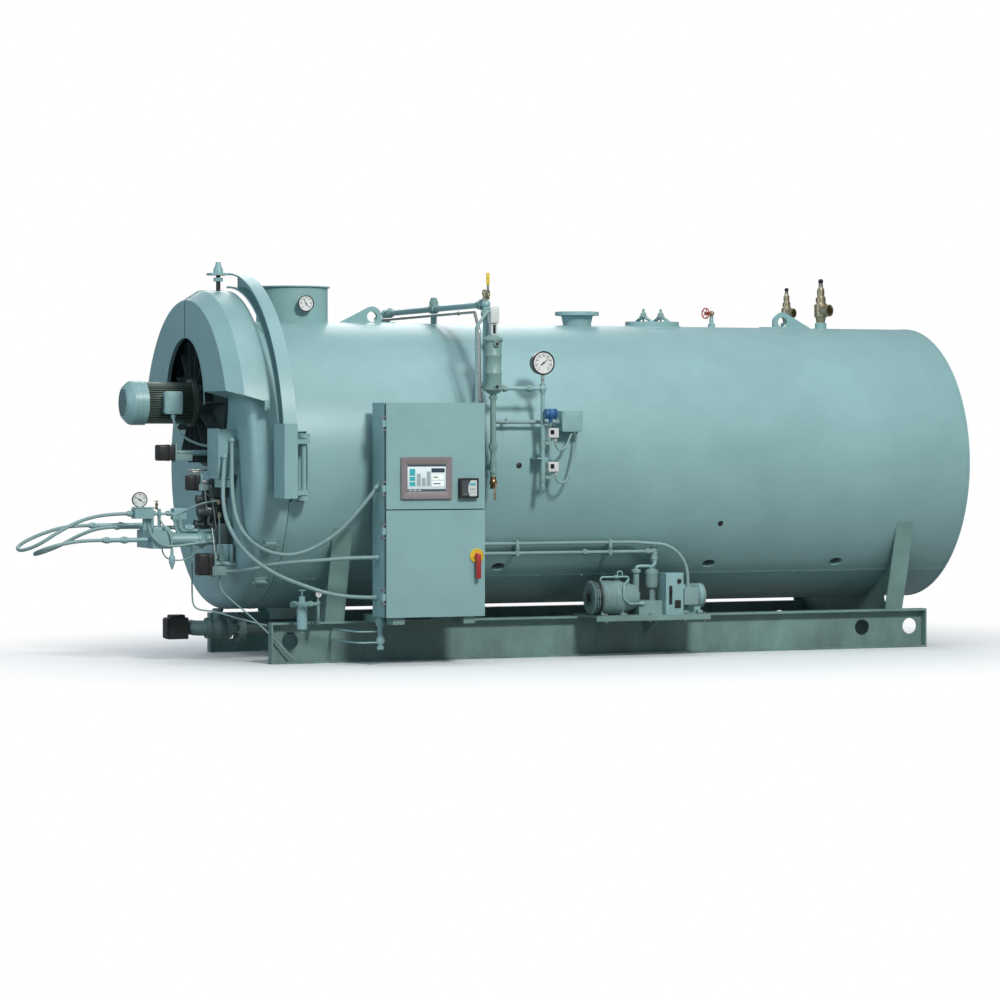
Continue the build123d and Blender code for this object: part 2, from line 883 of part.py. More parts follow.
with BuildPart() as vent_handwheel:
    wheel_section = Plane(origin=vent_place.origin, x_dir=vent_axis, z_dir=vent_axis.cross(Vector(0, 0, 1)))
    with BuildSketch(wheel_section):
        with Locations((wheel_offset, wheel_radius)):
            Circle(wheel_rim_radius)
    revolve(axis=Axis(vent_place.origin, vent_axis))
    with BuildSketch(vent_place.offset(wheel_offset - wheel_rim_radius / 2)):
        Circle(2 * vent_stem_radius)
        with PolarLocations(wheel_radius / 2, wheel_spokes):
            Rectangle(wheel_radius, wheel_rim_radius)
        Circle(vent_stem_radius + pin_gap, mode=Mode.SUBTRACT)
    extrude(amount=wheel_rim_radius)
save(vent_handwheel, "vent_handwheel")

# Safety valves: turned bodies with a side outlet, on threaded bosses
with BuildPart() as safety_valves:
    for (x, y), share in zip(valve_stations, valve_scales):
        base = shell_top + valve_base_radius
        upright(x, y, axis_height, base, valve_base_radius)
        with BuildSketch(Plane.XZ.offset(-y)):
            with BuildLine():
                Polyline(
                    (x, base),
                    *[(x + out * share, base + up * share) for out, up in valve_profile],
                    (x, base + valve_profile[-1][1] * share),
                    close=True,
                )
            make_face()
        revolve(axis=Axis((x, y, 0), (0, 0, 1)))
        outlet = Plane(origin=(x, y, base + valve_outlet_rise * share), z_dir=(valve_outlet_lean, -1, 0))
        bar(outlet, valve_outlet_radius * share, valve_outlet_length * share)
        with BuildSketch(outlet.offset(valve_outlet_length * share)):
            Circle(valve_outlet_bore / 2 * share)
        extrude(amount=-valve_outlet_depth * share, mode=Mode.SUBTRACT)
    cut_to_shell()
save(safety_valves, "safety_valves")

# Water column on each side, with its switch box
with BuildPart() as water_columns:
    for y in (trim_y, -trim_y):
        upper_end = [(column_height - step, radius) for step, radius in reversed(column_end)]
        turned((column_x, y, column_bottom), (0, 0, 1), [*column_end, *upper_end])
        upright(column_x, y, column_top, switch_box_bottom, drop_pipe_radius)
        block((column_x - switch_box[0] / 2, y - switch_box[1] / 2, switch_box_bottom), switch_box)
save(water_columns, "water_columns")

# Cross piping over the shell: steam tee at the top, pipes to both sides, risers behind the columns
with BuildPart() as column_piping:
    upright(column_x, 0, axis_height, cross_pipe_height + cross_fitting, cross_pipe_radius)
    for side in (-1, 1):
        y = -side * riser_y
        column_side = -side * trim_y - side * column_radius - side * seat_gap
        pipe(
            [
                (column_x, 0, cross_pipe_height),
                (column_x, y, cross_pipe_height),
                (column_x, y, column_feed_height),
                (column_x, side * (shell_half_width(column_feed_height) - shell_wall), column_feed_height),
            ],
            cross_pipe_radius,
            cross_fitting / 2,
        )
        with Locations((column_x, y, cross_pipe_height)):
            Sphere(cross_fitting / 2)
        for z in (column_feed_height, column_top - 4 * column_cap):
            with BuildSketch(Plane.XZ.offset(-y)) as section:
                with Locations((column_x, z)):
                    Circle(drop_pipe_radius)
            extrude(section.sketch, amount=y - column_side)
    cut_to_shell()
save(column_piping, "column_piping")

# Drain leg under the near column, with a tee back to the shell and a ball valve at its foot
drain_pivot = (column_x, trim_y, drain_height - cross_fitting / 2)
with BuildPart() as drain_leg:
    upright(column_x, trim_y, drain_height, column_bottom, drop_pipe_radius)
    tee_foot = drain_tee_height - cross_fitting / 2
    upright(column_x, trim_y, tee_foot, tee_foot + cross_fitting, cross_pipe_radius)
    bar(Plane(origin=(column_x, trim_y, drain_tee_height), z_dir=(0, 1, 0)), drop_pipe_radius, -trim_y)
    upright(column_x, trim_y, drain_height - cross_fitting, drain_height, cross_pipe_radius)
    bar(Plane(origin=drain_pivot, z_dir=(0, -1, 0)), lever_hub_radius / 2, lever_stand_off)
    cut_to_shell()
save(drain_leg, "drain_leg")

# Ball valve on top of the near riser
top_valve_pivot = (column_x, riser_y, top_valve_height)
with BuildPart() as top_valve:
    top_valve_foot = cross_pipe_height + cross_fitting / 2 + seat_gap
    upright(column_x, riser_y, top_valve_foot, top_valve_height + cross_pipe_radius, drop_pipe_radius)
    with Locations(top_valve_pivot):
        Sphere(cross_pipe_radius)
    bar(Plane(origin=top_valve_pivot, z_dir=(0, -1, 0)), lever_hub_radius / 2, lever_stand_off)
save(top_valve, "top_valve")


def lever(name, pivot, length, direction):
    """Flat lever with a hub on the valve stem; direction is 1 for up and -1 for down."""
    hub = (pivot[0], pivot[1] - lever_stand_off + 2 * lever_thickness, pivot[2])
    place = Plane(origin=hub, x_dir=(1, 0, 0), z_dir=(0, -1, 0))
    with BuildPart() as piece:
        with BuildSketch(place):
            Circle(lever_hub_radius)
            with Locations((0, direction * length / 2)):
                Rectangle(lever_width, length)
            Circle(lever_hub_radius / 2 + pin_gap, mode=Mode.SUBTRACT)
        extrude(amount=lever_thickness)
    save(piece, name)


lever("top_valve_lever", top_valve_pivot, lever_length, 1)
lever("drain_lever", drain_pivot, drain_lever_length, -1)

# Instrument manifold: a pipe from the column foot to the gauge and down past the controls, on a bracket
with BuildPart() as gauge_piping:
    pipe(
        [
            (column_x + column_radius + column_cap / 2 + seat_gap, trim_y, manifold_top),
            (manifold_x, trim_y, manifold_top),
            (manifold_x, trim_y, manifold_bottom),
        ],
        manifold_radius,
        2 * manifold_radius,
    )
    upright(manifold_x, trim_y, manifold_top, gauge_height - gauge_radius - seat_gap, manifold_radius * 0.7)
    with Locations((manifold_x, trim_y, manifold_top)):
        Sphere(2 * manifold_radius)
    block(
        (manifold_x - 3 * manifold_radius, trim_y - manifold_radius, manifold_bracket_height),
        (6 * manifold_radius, -trim_y, manifold_bracket_thickness),
    )
    for z in control_heights:
        pipe(
            [
                (manifold_x, trim_y, z - control_drop),
                (manifold_x + control_offset_x, trim_y, z - control_drop),
                (manifold_x + control_offset_x, trim_y, z - control_size[2] / 2),
            ],
            control_pipe_radius,
            2 * control_pipe_radius,
        )
    cut_to_shell()
save(gauge_piping, "gauge_piping")

# Pressure gauge on the manifold and dial thermometer in the near side of the flue collar
with BuildPart() as dial_gauges:
    gauge_place = Plane(origin=(manifold_x, trim_y + gauge_depth / 2, gauge_height), z_dir=(0, -1, 0))
    dial(gauge_place, gauge_radius, gauge_depth)
    dial_place = Plane(origin=(flue_x, -flue_radius - seat_gap, thermometer_height), z_dir=(0, -1, 0))
    bar(dial_place, thermometer_stem, thermometer_depth)
    dial(dial_place.offset(thermometer_depth), thermometer_radius, thermometer_depth)
save(dial_gauges, "dial_gauges")

with BuildPart() as pressure_controls:
    for z in control_heights:
        block(
            (
                manifold_x + control_offset_x - control_size[0] / 2,
                trim_y - control_size[1] / 2,
                z - control_size[2] / 2,
            ),
            control_size,
        )
        with BuildSketch(Plane.XZ.offset(-trim_y + control_size[1] / 2)) as window:
            with Locations((manifold_x + control_offset_x - control_window[0] / 2, z)):
                Rectangle(*control_window)
        extrude(window.sketch, amount=-control_window_depth, mode=Mode.SUBTRACT)
        with BuildSketch(Plane.XZ.offset(-trim_y + control_size[1] / 4)) as groove:
            with Locations((manifold_x + control_offset_x, z)):
                Rectangle(control_size[0], control_size[2])
                Rectangle(
                    control_size[0] - 2 * control_lid_groove,
                    control_size[2] - 2 * control_lid_groove,
                    mode=Mode.SUBTRACT,
                )
        extrude(groove.sketch, amount=control_lid_groove, mode=Mode.SUBTRACT)
save(pressure_controls, "pressure_controls")

with BuildPart() as pressure_transmitter:
    turned(
        (manifold_x + transmitter_offset, trim_y - transmitter_reach, transmitter_height),
        (1, 0, 0),
        transmitter_profile,
    )
    stem_foot = (manifold_x, trim_y - manifold_radius - seat_gap, transmitter_height)
    bar(Plane(origin=stem_foot, z_dir=(0, -1, 0)), transmitter_stem, transmitter_reach - manifold_radius)
save(pressure_transmitter, "pressure_transmitter")

# Junction box on the side of the shell, with its conduit from the column
side_box_back = -shell_half_width(side_box_height + side_box_size[2] / 2)
with BuildPart() as side_junction_box:
    block(
        (
            side_box_x - side_box_size[0] / 2,
            -shell_radius - side_box_size[1],
            side_box_height - side_box_size[2] / 2,
        ),
        (side_box_size[0], side_box_size[1] + shell_radius + side_box_back, side_box_size[2]),
    )
    cut_to_shell()
save(side_junction_box, "side_junction_box")

# Control cabinet: an open box with a rail between its doors and glands for the flexible conduits
cabinet_size = (cabinet_width, cabinet_back - body_front, cabinet_height)
with BuildPart() as cabinet_body:
    block((cabinet_left, body_front, cabinet_bottom), cabinet_size)
    inner_corner = (cabinet_left + cabinet_wall, body_front - cabinet_wall, cabinet_bottom + cabinet_wall)
    with Locations(inner_corner):
        Box(
            cabinet_width - 2 * cabinet_wall,
            cabinet_size[1],
            cabinet_height - 2 * cabinet_wall,
            align=(Align.MIN, Align.MIN, Align.MIN),
            mode=Mode.SUBTRACT,
        )
    for place, steps in zip(cabinet_gland_places, (upper_run_steps, lower_run_steps, drive_run_steps)):
        gland_end = Vector(cabinet_left - gland_length, *place)
        with BuildSketch(Plane(origin=gland_end, z_dir=-Vector(*steps[1][-2]))) as gland_section:
            Circle(gland_radius)
        extrude(gland_section.sketch, until=Until.NEXT)
    block(
        (cabinet_left + cabinet_wall, body_front, door_split - mid_rail_height / 2),
        (cabinet_width - 2 * cabinet_wall, 2 * cabinet_wall, mid_rail_height),
    )
save(cabinet_body, "cabinet_body")

# Doors, each with two sleeves that turn on pins along the left edge of the cabinet
door_left = cabinet_left + run_gap
door_spans = {
    "cabinet_upper_door": (door_split + door_split_gap / 2, cabinet_top),
    "cabinet_lower_door": (cabinet_bottom, door_split - door_split_gap / 2),
}
sleeve_radius = hinge_pin_radius + pin_gap + hinge_sleeve_wall
for name, (bottom, top) in door_spans.items():
    with BuildPart() as door:
        block((door_left, cabinet_front, bottom), (cabinet_right - door_left, door_thickness, top - bottom))
        for z in (bottom + hinge_inset, top - hinge_inset):
            foot = z - hinge_sleeve_length / 2
            upright(hinge_x, hinge_y, foot, foot + hinge_sleeve_length, sleeve_radius)
            block(
                (hinge_x, hinge_y - hinge_sleeve_wall / 2, foot),
                (door_left - hinge_x, hinge_sleeve_wall, hinge_sleeve_length),
            )
            with BuildSketch(Plane.XY.offset(foot)) as pin_hole:
                with Locations((hinge_x, hinge_y)):
                    Circle(hinge_pin_radius + pin_gap)
            extrude(pin_hole.sketch, amount=hinge_sleeve_length, mode=Mode.SUBTRACT)
    save(door, name)

with BuildPart() as cabinet_hinges:
    for bottom, top in door_spans.values():
        for z in (bottom + hinge_inset, top - hinge_inset):
            upright(hinge_x, hinge_y, z - hinge_pin_length / 2, z + hinge_pin_length / 2, hinge_pin_radius)
            for foot in (z - hinge_pin_length / 2, z + hinge_pin_length / 2 - cabinet_wall):
                block(
                    (hinge_x - hinge_ear / 2, hinge_y - hinge_ear / 2, foot),
                    (hinge_offset + hinge_ear / 2, body_front - hinge_y + 2 * hinge_ear, cabinet_wall),
                )
save(cabinet_hinges, "cabinet_hinges")

# Operator screen and burner controller on the upper door
with BuildPart() as operator_screen:
    with BuildSketch(Plane.XZ.offset(-cabinet_front)):
        with Locations(screen_centre):
            Rectangle(*screen_frame)
    extrude(amount=screen_frame_depth)
    with BuildSketch(Plane.XZ.offset(-cabinet_front + screen_frame_depth)):
        with Locations(screen_centre):
            Rectangle(*screen_glass)
    extrude(amount=-screen_glass_depth, mode=Mode.SUBTRACT)
save(operator_screen, "operator_screen")

with BuildPart() as burner_controller:
    with BuildSketch(Plane.XZ.offset(-cabinet_front)):
        with Locations(controller_centre):
            RectangleRounded(*controller_size, screen_glass_depth)
    extrude(amount=controller_depth)
save(burner_controller, "burner_controller")

# Disconnect on the lower door: a round plate and a pistol-grip handle on a shaft through it
disconnect_centre = (disconnect_x, cabinet_front, disconnect_z)
disconnect_place = Plane(origin=disconnect_centre, x_dir=(1, 0, 0), z_dir=(0, -1, 0))
with BuildPart() as disconnect_plate:
    with BuildSketch(disconnect_place):
        Circle(disconnect_disc_radius)
        Circle(disconnect_shaft_radius + pin_gap, mode=Mode.SUBTRACT)
    extrude(amount=disconnect_disc_depth)
save(disconnect_plate, "disconnect_plate")

with BuildPart() as disconnect_handle:
    bar(disconnect_place.offset(pin_gap), disconnect_shaft_radius, disconnect_disc_depth + run_gap)
    with BuildSketch(disconnect_place.offset(disconnect_disc_depth + run_gap)):
        Circle(disconnect_grip_width / 2)
        with Locations((0, -disconnect_grip_length / 2 + disconnect_grip_width / 4)):
            Rectangle(disconnect_grip_width, disconnect_grip_length - disconnect_grip_width / 2)
    extrude(amount=disconnect_grip_depth)
save(disconnect_handle, "disconnect_handle")

# Brackets on the near rail: arms under the cabinet, and a shelf with gussets under the compressor
with BuildPart() as rail_brackets:
    for x in cabinet_arm_stations:
        block(
            (x - cabinet_arm_width / 2, body_front, rail_height),
            (cabinet_arm_width, -rail_inner - body_front, cabinet_bottom - rail_height),
        )
    block(
        (shelf_left, -rail_outer - shelf_reach, shelf_top - shelf_plate),
        (shelf_right - shelf_left, shelf_reach + rail_flange, shelf_plate),
    )
    block(
        (shelf_left, -rail_outer - shelf_reach, shelf_top - shelf_lip),
        (shelf_right - shelf_left, shelf_plate, shelf_lip),
    )
    for x in shelf_gussets:
        with BuildSketch(Plane.YZ.offset(x - shelf_plate / 2)):
            with BuildLine():
                Polyline(
                    (-rail_outer - seat_gap, shelf_top - shelf_plate),
                    (-rail_outer - shelf_reach + shelf_plate, shelf_top - shelf_plate),
                    (-rail_outer - seat_gap, shelf_top - shelf_plate - shelf_gusset_depth),
                    close=True,
                )
            make_face()
        extrude(amount=shelf_plate)
save(rail_brackets, "rail_brackets")

# Compressor package: compressor with its filters, then its control box and motor
compressor_height = shelf_top + compressor_radius
with BuildPart() as air_compressor:
    drum_end = (compressor_x - compressor_length / 2, compressor_y, compressor_height)
    turned(drum_end, (1, 0, 0), compressor_profile)
    block(
        (compressor_x + compressor_length / 2, compressor_y - crankcase[1] / 2, shelf_top),
        crankcase,
    )
    for x, profile in zip(filter_stations, filter_profiles):
        turned((x, compressor_y, crankcase_top), (0, 0, 1), profile)
save(air_compressor, "air_compressor")

motor_box_corner = (
    motor_x - motor_length / 2,
    compressor_y - motor_radius - motor_box[1] / 2,
    motor_axis_height - motor_box[2] / 2,
)
with BuildPart() as compressor_drive:
    block(
        (compressor_box_x - compressor_box[0] / 2, compressor_y - compressor_box[1], shelf_top),
        compressor_box,
    )
    motor_end = (motor_x - motor_length / 2, compressor_y, motor_axis_height)
    turned(motor_end, (1, 0, 0), motor_profile)
    block(
        (motor_x - motor_length / 3, compressor_y - motor_radius / 2, shelf_top),
        (motor_length * 2 / 3, motor_radius, motor_axis_height - shelf_top),
    )
    block(motor_box_corner, (motor_box[0], motor_box[1] + motor_radius / 2, motor_box[2]))
save(compressor_drive, "compressor_drive")

# Filter regulator on the outer face of the near rail
with BuildPart() as filter_regulator:
    upright(regulator_x, regulator_y, regulator_bowl[0], regulator_bowl[1], regulator_bowl_radius)
    upright(regulator_x, regulator_y, regulator_bowl[1], regulator_head_top, regulator_bowl_radius * 1.15)
    upright(regulator_x, regulator_y, regulator_head_top, regulator_knob_top, regulator_bowl_radius * 0.6)
    block(
        (regulator_x - regulator_bowl_radius / 2, regulator_y, rail_height - rail_flange_thickness),
        (regulator_bowl_radius, -rail_outer - regulator_y, rail_flange_thickness),
    )
save(filter_regulator, "filter_regulator")

# Conduits along the side from the back of the cabinet, clipped to the shell, to the muffler and the motor
with BuildPart() as conduit_runs:
    upper_height, lower_height = conduit_heights
    motor_top = (
        motor_box_corner[0] + motor_box[0] / 2,
        motor_box_corner[1] + motor_box[1] / 2,
        motor_box_corner[2] + motor_box[2],
    )
    pipe(
        [
            (conduit_start, cabinet_back, upper_height),
            (conduit_start, conduit_y, upper_height),
            (muffler_x - 2 * muffler_radius, conduit_y, upper_height),
            (motor_top[0] - motor_box[0], (conduit_y + motor_top[1]) / 2, upper_height - compressor_box[0]),
            (motor_top[0], motor_top[1], (upper_height + motor_top[2]) / 2 - compressor_box[0] / 2),
            motor_top,
        ],
        run_radius,
        3 * run_radius,
    )
    pipe(
        [
            (conduit_start, cabinet_back, lower_height),
            (conduit_start, conduit_y, lower_height),
            (muffler_x, conduit_y, lower_height),
        ],
        run_radius,
        3 * run_radius,
    )
    upright(muffler_x, muffler_y, crankcase_top, muffler_span[0], run_radius - 2)
    upright(muffler_x, muffler_y, *muffler_span, muffler_radius)
    for x in conduit_clip_stations:
        block(
            (x - conduit_clip_width / 2, conduit_y, lower_height),
            (conduit_clip_width, -conduit_y, upper_height - lower_height),
        )
    cut_to_shell()
save(conduit_runs, "conduit_runs")

# Lower gas line under the head, from a foot on the front cross member, with a flange, elbow and actuator
gas_rear = front_saddle_x - beam_width / 2
with BuildPart() as gas_line:
    pipe(
        [
            (gas_rear, gas_y, gas_height),
            (gas_front, gas_y, gas_height),
            (gas_front, gas_y + 3 * gas_radius, gas_height),
        ],
        gas_radius,
        1.5 * gas_radius,
    )
    bar(
        Plane(origin=(gas_flange_x, gas_y, gas_height), z_dir=(1, 0, 0)),
        gas_flange_radius,
        gas_flange_thickness,
    )
    bar(Plane(origin=(gas_rear, gas_y, gas_height), z_dir=(-1, 0, 0)), gas_foot_radius, gas_foot_thickness)
save(gas_line, "gas_line")

with BuildPart() as gas_valve_actuator:
    block(
        (
            gas_front - gas_radius - seat_gap - gas_actuator[0],
            gas_y + 1.5 * gas_radius - gas_actuator[1] / 2,
            gas_height - gas_actuator[2] / 2,
        ),
        gas_actuator,
    )
save(gas_valve_actuator, "gas_valve_actuator")

# Davit hinge: two lugs on the floor of the jacket notch with a pin through them
notch_floor = -shell_radius + davit_notch_depth
with BuildPart() as davit_hinge:
    for top in davit_lug_heights:
        with BuildSketch(Plane.XY.offset(top - davit_lug_thickness)):
            with Locations((davit_pivot_x, davit_pivot_y)):
                Circle(davit_lug_radius)
            with Locations((davit_pivot_x, (davit_pivot_y + notch_floor) / 2)):
                Rectangle(2 * davit_lug_radius, notch_floor - davit_pivot_y)
        extrude(amount=davit_lug_thickness)
    pin_foot = davit_lug_heights[1] - davit_lug_thickness
    upright(davit_pivot_x, davit_pivot_y, pin_foot, davit_lug_heights[0], davit_pin_radius)
save(davit_hinge, "davit_hinge")

# Davit arm: a channel rolled over the head, a box leg down the near side and two lugs round the pin
arm_front = davit_plane - davit_width / 2
arm_rear = davit_plane + davit_width / 2
with BuildPart() as davit_arm:
    with BuildSketch(Plane.XZ):
        with Locations((davit_plane, davit_centre_height + davit_outer_radius - davit_depth / 2)):
            Rectangle(davit_width, davit_depth)
        with Locations(
            (davit_plane - davit_plate / 2, davit_centre_height + davit_outer_radius - davit_depth / 2)
        ):
            Rectangle(davit_width - davit_plate, davit_depth - 2 * davit_plate, mode=Mode.SUBTRACT)
    revolve(axis=Axis((0, 0, davit_centre_height), (1, 0, 0)), revolution_arc=90)
    block(
        (arm_front, -davit_outer_radius, davit_leg_bottom),
        (davit_width, davit_leg_inner + davit_outer_radius, davit_leg_top - davit_leg_bottom),
    )
    lug_bottoms = (
        davit_lug_heights[0] - 2 * davit_lug_thickness - run_gap,
        davit_lug_heights[1] + run_gap,
    )
    for z in lug_bottoms:
        with BuildSketch(Plane.XY.offset(z)):
            with Locations((davit_pivot_x, davit_pivot_y)):
                Circle(davit_lug_radius)
            with Locations(((davit_pivot_x + arm_rear) / 2, davit_pivot_y)):
                Rectangle(davit_pivot_x - arm_rear, 2 * davit_lug_radius)
            with Locations((davit_pivot_x, davit_pivot_y)):
                Circle(davit_pin_radius + pin_gap, mode=Mode.SUBTRACT)
        extrude(amount=davit_lug_thickness)
    pad_top = davit_centre_height + davit_outer_radius
    block(
        (davit_bolt_x - davit_pad[0] / 2, -davit_pad[1] / 2, pad_top - davit_pad[2]),
        (arm_front - davit_bolt_x + davit_pad[0] / 2, davit_pad[1], davit_pad[2]),
    )
    upright(davit_bolt_x, 0, cowl_centre_height + cowl_radius, pad_top, davit_bolt_radius)
    upright(davit_bolt_x, 0, pad_top, pad_top + davit_nut_height, davit_nut_radius)
    upright(davit_bolt_x, 0, pad_top, pad_top + davit_bolt_stand_out, davit_bolt_radius)
save(davit_arm, "davit_arm")

# Front head: a turned cover with a rounded edge and a recessed back
with BuildPart() as front_head:
    head_floor = head_back - head_recess_depth
    with BuildSketch(Plane.XZ):
        with BuildLine():
            Polyline(
                (head_face + head_edge_radius, axis_height + shell_radius),
                (head_back, axis_height + shell_radius),
                (head_back, axis_height + shell_radius - head_rim),
                (head_floor, axis_height + shell_radius - head_rim),
                (head_floor, axis_height),
                (head_face, axis_height),
                (head_face, axis_height + shell_radius - head_edge_radius),
            )
            ThreePointArc(
                (head_face, axis_height + shell_radius - head_edge_radius),
                (
                    head_face + head_edge_radius * (1 - sqrt(0.5)),
                    axis_height + shell_radius - head_edge_radius * (1 - sqrt(0.5)),
                ),
                (head_face + head_edge_radius, axis_height + shell_radius),
            )
        make_face()
    revolve(axis=shell_axis)
save(front_head, "front_head")

with BuildPart() as burner_throat:
    with BuildSketch(Plane.XZ):
        with BuildLine():
            Polyline(
                (head_floor, furnace_height + throat_radius),
                (head_floor + throat_reach, furnace_height + throat_radius - throat_wall / 2),
                (head_floor + throat_reach, furnace_height + throat_radius - throat_wall),
                (head_floor, furnace_height + throat_radius - throat_wall),
                close=True,
            )
        make_face()
    revolve(axis=Axis((0, 0, furnace_height), (1, 0, 0)))
save(burner_throat, "burner_throat")

# Air cowl: a hood round the top of the head with a round intake, closed at its two feet
cowl_axis = Axis((0, 0, cowl_centre_height), (1, 0, 0))
cavity_rear = head_face - seat_gap


def cut_cowl_feet(lift):
    """Takes away what lies under the sloping feet of the cowl, lifted by a wall where asked."""
    slope = (cowl_foot_rear - cowl_foot_front) / (cowl_rear - cowl_front)
    with BuildSketch(Plane.XZ) as section:
        with BuildLine():
            Polyline(
                (cowl_front - cowl_radius, cowl_foot_front - slope * cowl_radius + lift),
                (cowl_rear + cowl_radius, cowl_foot_rear + slope * cowl_radius + lift),
                (cowl_rear + cowl_radius, -cowl_radius),
                (cowl_front - cowl_radius, -cowl_radius),
                close=True,
            )
        make_face()
    extrude(section.sketch, amount=2 * cowl_radius, both=True, mode=Mode.SUBTRACT)


with BuildPart() as cowl_cavity:
    with BuildSketch(Plane.XZ):
        with BuildLine():
            Polyline(
                (cowl_front + cowl_wall, cowl_centre_height),
                (cowl_front + cowl_wall, cowl_centre_height + cowl_face_radius - cowl_wall / 2),
                (cowl_band_front, cowl_centre_height + cowl_radius - cowl_wall),
                (cavity_rear, cowl_centre_height + cowl_radius - cowl_wall),
                (cavity_rear, cowl_centre_height),
                close=True,
            )
        make_face()
    revolve(axis=cowl_axis)
    cut_cowl_feet(cowl_wall)

with BuildPart() as air_cowl:
    with BuildSketch(Plane.XZ):
        with BuildLine():
            Polyline(
                (cowl_front, cowl_centre_height),
                (cowl_front, cowl_centre_height + cowl_face_radius),
                (cowl_band_front, cowl_centre_height + cowl_radius),
                (cowl_rear, cowl_centre_height + cowl_radius),
                (cowl_rear, cowl_centre_height),
                close=True,
            )
        make_face()
    revolve(axis=cowl_axis)
    cut_cowl_feet(0)
    add(cowl_cavity.part, mode=Mode.SUBTRACT)
    with BuildSketch(Plane.YZ.offset(cowl_front)):
        with Locations((0, blower_height)):
            Circle(cowl_opening_radius)
    extrude(amount=cavity_rear - cowl_front, mode=Mode.SUBTRACT)
    with BuildSketch(Plane.YZ.offset(cavity_rear)):
        with Locations((0, axis_height)):
            Circle(shell_radius + seat_gap)
    extrude(amount=cowl_rear - cavity_rear, mode=Mode.SUBTRACT)
save(air_cowl, "air_cowl")

# Fan inlet on the head: a back plate with radial vanes round a hub that carries the motor
inlet_front = head_face - inlet_disc_thickness - inlet_vane_depth
inlet_plane = Plane.YZ.offset(inlet_front)
with BuildPart() as fan_inlet:
    with BuildSketch(inlet_plane):
        with Locations((0, blower_height)):
            Circle(inlet_hub_radius)
            with PolarLocations(inlet_vane_radius / 2, inlet_vanes):
                Rectangle(inlet_vane_radius, inlet_vane_thickness)
    extrude(amount=inlet_vane_depth)
    with BuildSketch(Plane.YZ.offset(head_face - inlet_disc_thickness)):
        with Locations((0, blower_height)):
            Circle(inlet_disc_radius)
    extrude(amount=inlet_disc_thickness)
save(fan_inlet, "fan_inlet")

# Blower motor: fan cover, finned frame, flange and terminal box
with BuildPart() as blower_motor:
    with BuildSketch(Plane.YZ.offset(inlet_front)):
        with Locations((0, blower_height)):
            Circle(blower_flange_radius)
    extrude(amount=-blower_flange_thickness)
    frame_length = inlet_front - blower_flange_thickness - blower_end - blower_cover_length
    with BuildSketch(Plane.YZ.offset(inlet_front - blower_flange_thickness)):
        with Locations((0, blower_height)):
            Circle(blower_body_radius)
            with PolarLocations(blower_body_radius, blower_fins):
                Rectangle(2 * blower_fin_height, blower_fin_thickness)
    extrude(amount=-frame_length)
    with BuildSketch(Plane.YZ.offset(blower_end)):
        with Locations((0, blower_height)):
            Circle(blower_radius)
    extrude(amount=blower_cover_length)
    block(
        (
            terminal_box_x - terminal_box[0] / 2,
            -blower_body_radius - terminal_box[1],
            blower_height - terminal_box[2] / 2,
        ),
        (terminal_box[0], terminal_box[1] + blower_fin_height, terminal_box[2]),
    )
save(blower_motor, "blower_motor")

# Junction box on the head, with an elbow gland for each flexible conduit
gland_y = head_box_corner[1] - gland_length
upper_gland, lower_gland = [
    Vector(head_box_corner[0] + along, gland_y, head_box_corner[2] + rise)
    for along, rise in head_gland_offsets
]
with BuildPart() as head_junction_box:
    block(head_box_corner, (head_face - head_box_corner[0], head_box_size[1], head_box_size[2]))
    for gland in (upper_gland, lower_gland):
        bar(Plane(origin=gland, z_dir=(0, 1, 0)), gland_radius, gland_length)
        with Locations(gland):
            Sphere(gland_radius)
save(head_junction_box, "head_junction_box")

# Burner plate on the head, with the fuel block on two stubs, its feed pipes, control box and gauge
plate_front = head_face - burner_plate[0]
plate_edge = burner_plate_centre[0] - burner_plate[1] / 2
block_back = burner_block_corner[0] + burner_block[0]
block_middle = burner_block_corner[2] + burner_block[2] / 2
box_top = manifold_box_corner[2] + manifold_box[2]
with BuildPart() as burner_manifold:
    block(
        (
            plate_front,
            burner_plate_centre[0] - burner_plate[1] / 2,
            burner_plate_centre[1] - burner_plate[2] / 2,
        ),
        burner_plate,
    )
    block(burner_block_corner, burner_block)
    for y in (burner_near_y, burner_far_y):
        stub = Plane(origin=(block_back, y, block_middle), z_dir=(1, 0, 0))
        bar(stub, burner_stub_radius, plate_front - block_back)
    block(manifold_box_corner, manifold_box)
    post_x = manifold_box_corner[0] + manifold_box[0]
    post_top = manifold_box_corner[2] + burner_pipe_radius
    upright(post_x, burner_near_y, block_middle, post_top, burner_pipe_radius)
    pipe(
        [
            (upper_feed_end, burner_far_y, burner_upper_height),
            (feed_turn, burner_far_y, burner_upper_height),
            (feed_turn, burner_far_y, block_middle),
        ],
        burner_pipe_radius,
        2 * burner_pipe_radius,
    )
    pipe(
        [
            (second_feed_end, second_feed_y, second_feed_height),
            (second_feed_turn, second_feed_y, second_feed_height),
            (second_feed_turn, second_feed_y, block_middle),
        ],
        burner_pipe_radius,
        1.5 * burner_pipe_radius,
    )
    bar(
        Plane(origin=(lower_feed_end, burner_near_y, burner_lower_height), z_dir=(1, 0, 0)),
        burner_pipe_radius,
        block_back - lower_feed_end,
    )
    for (x, y, z), (length, *_) in actuators:
        on_plate = abs(z - burner_plate_centre[1]) < burner_plate[2] / 2 and y > plate_edge
        end = plate_front if on_plate else head_face
        bar(Plane(origin=(x + length / 2, y, z), z_dir=(1, 0, 0)), actuator_shaft, end - x - length / 2)
save(burner_manifold, "burner_manifold")

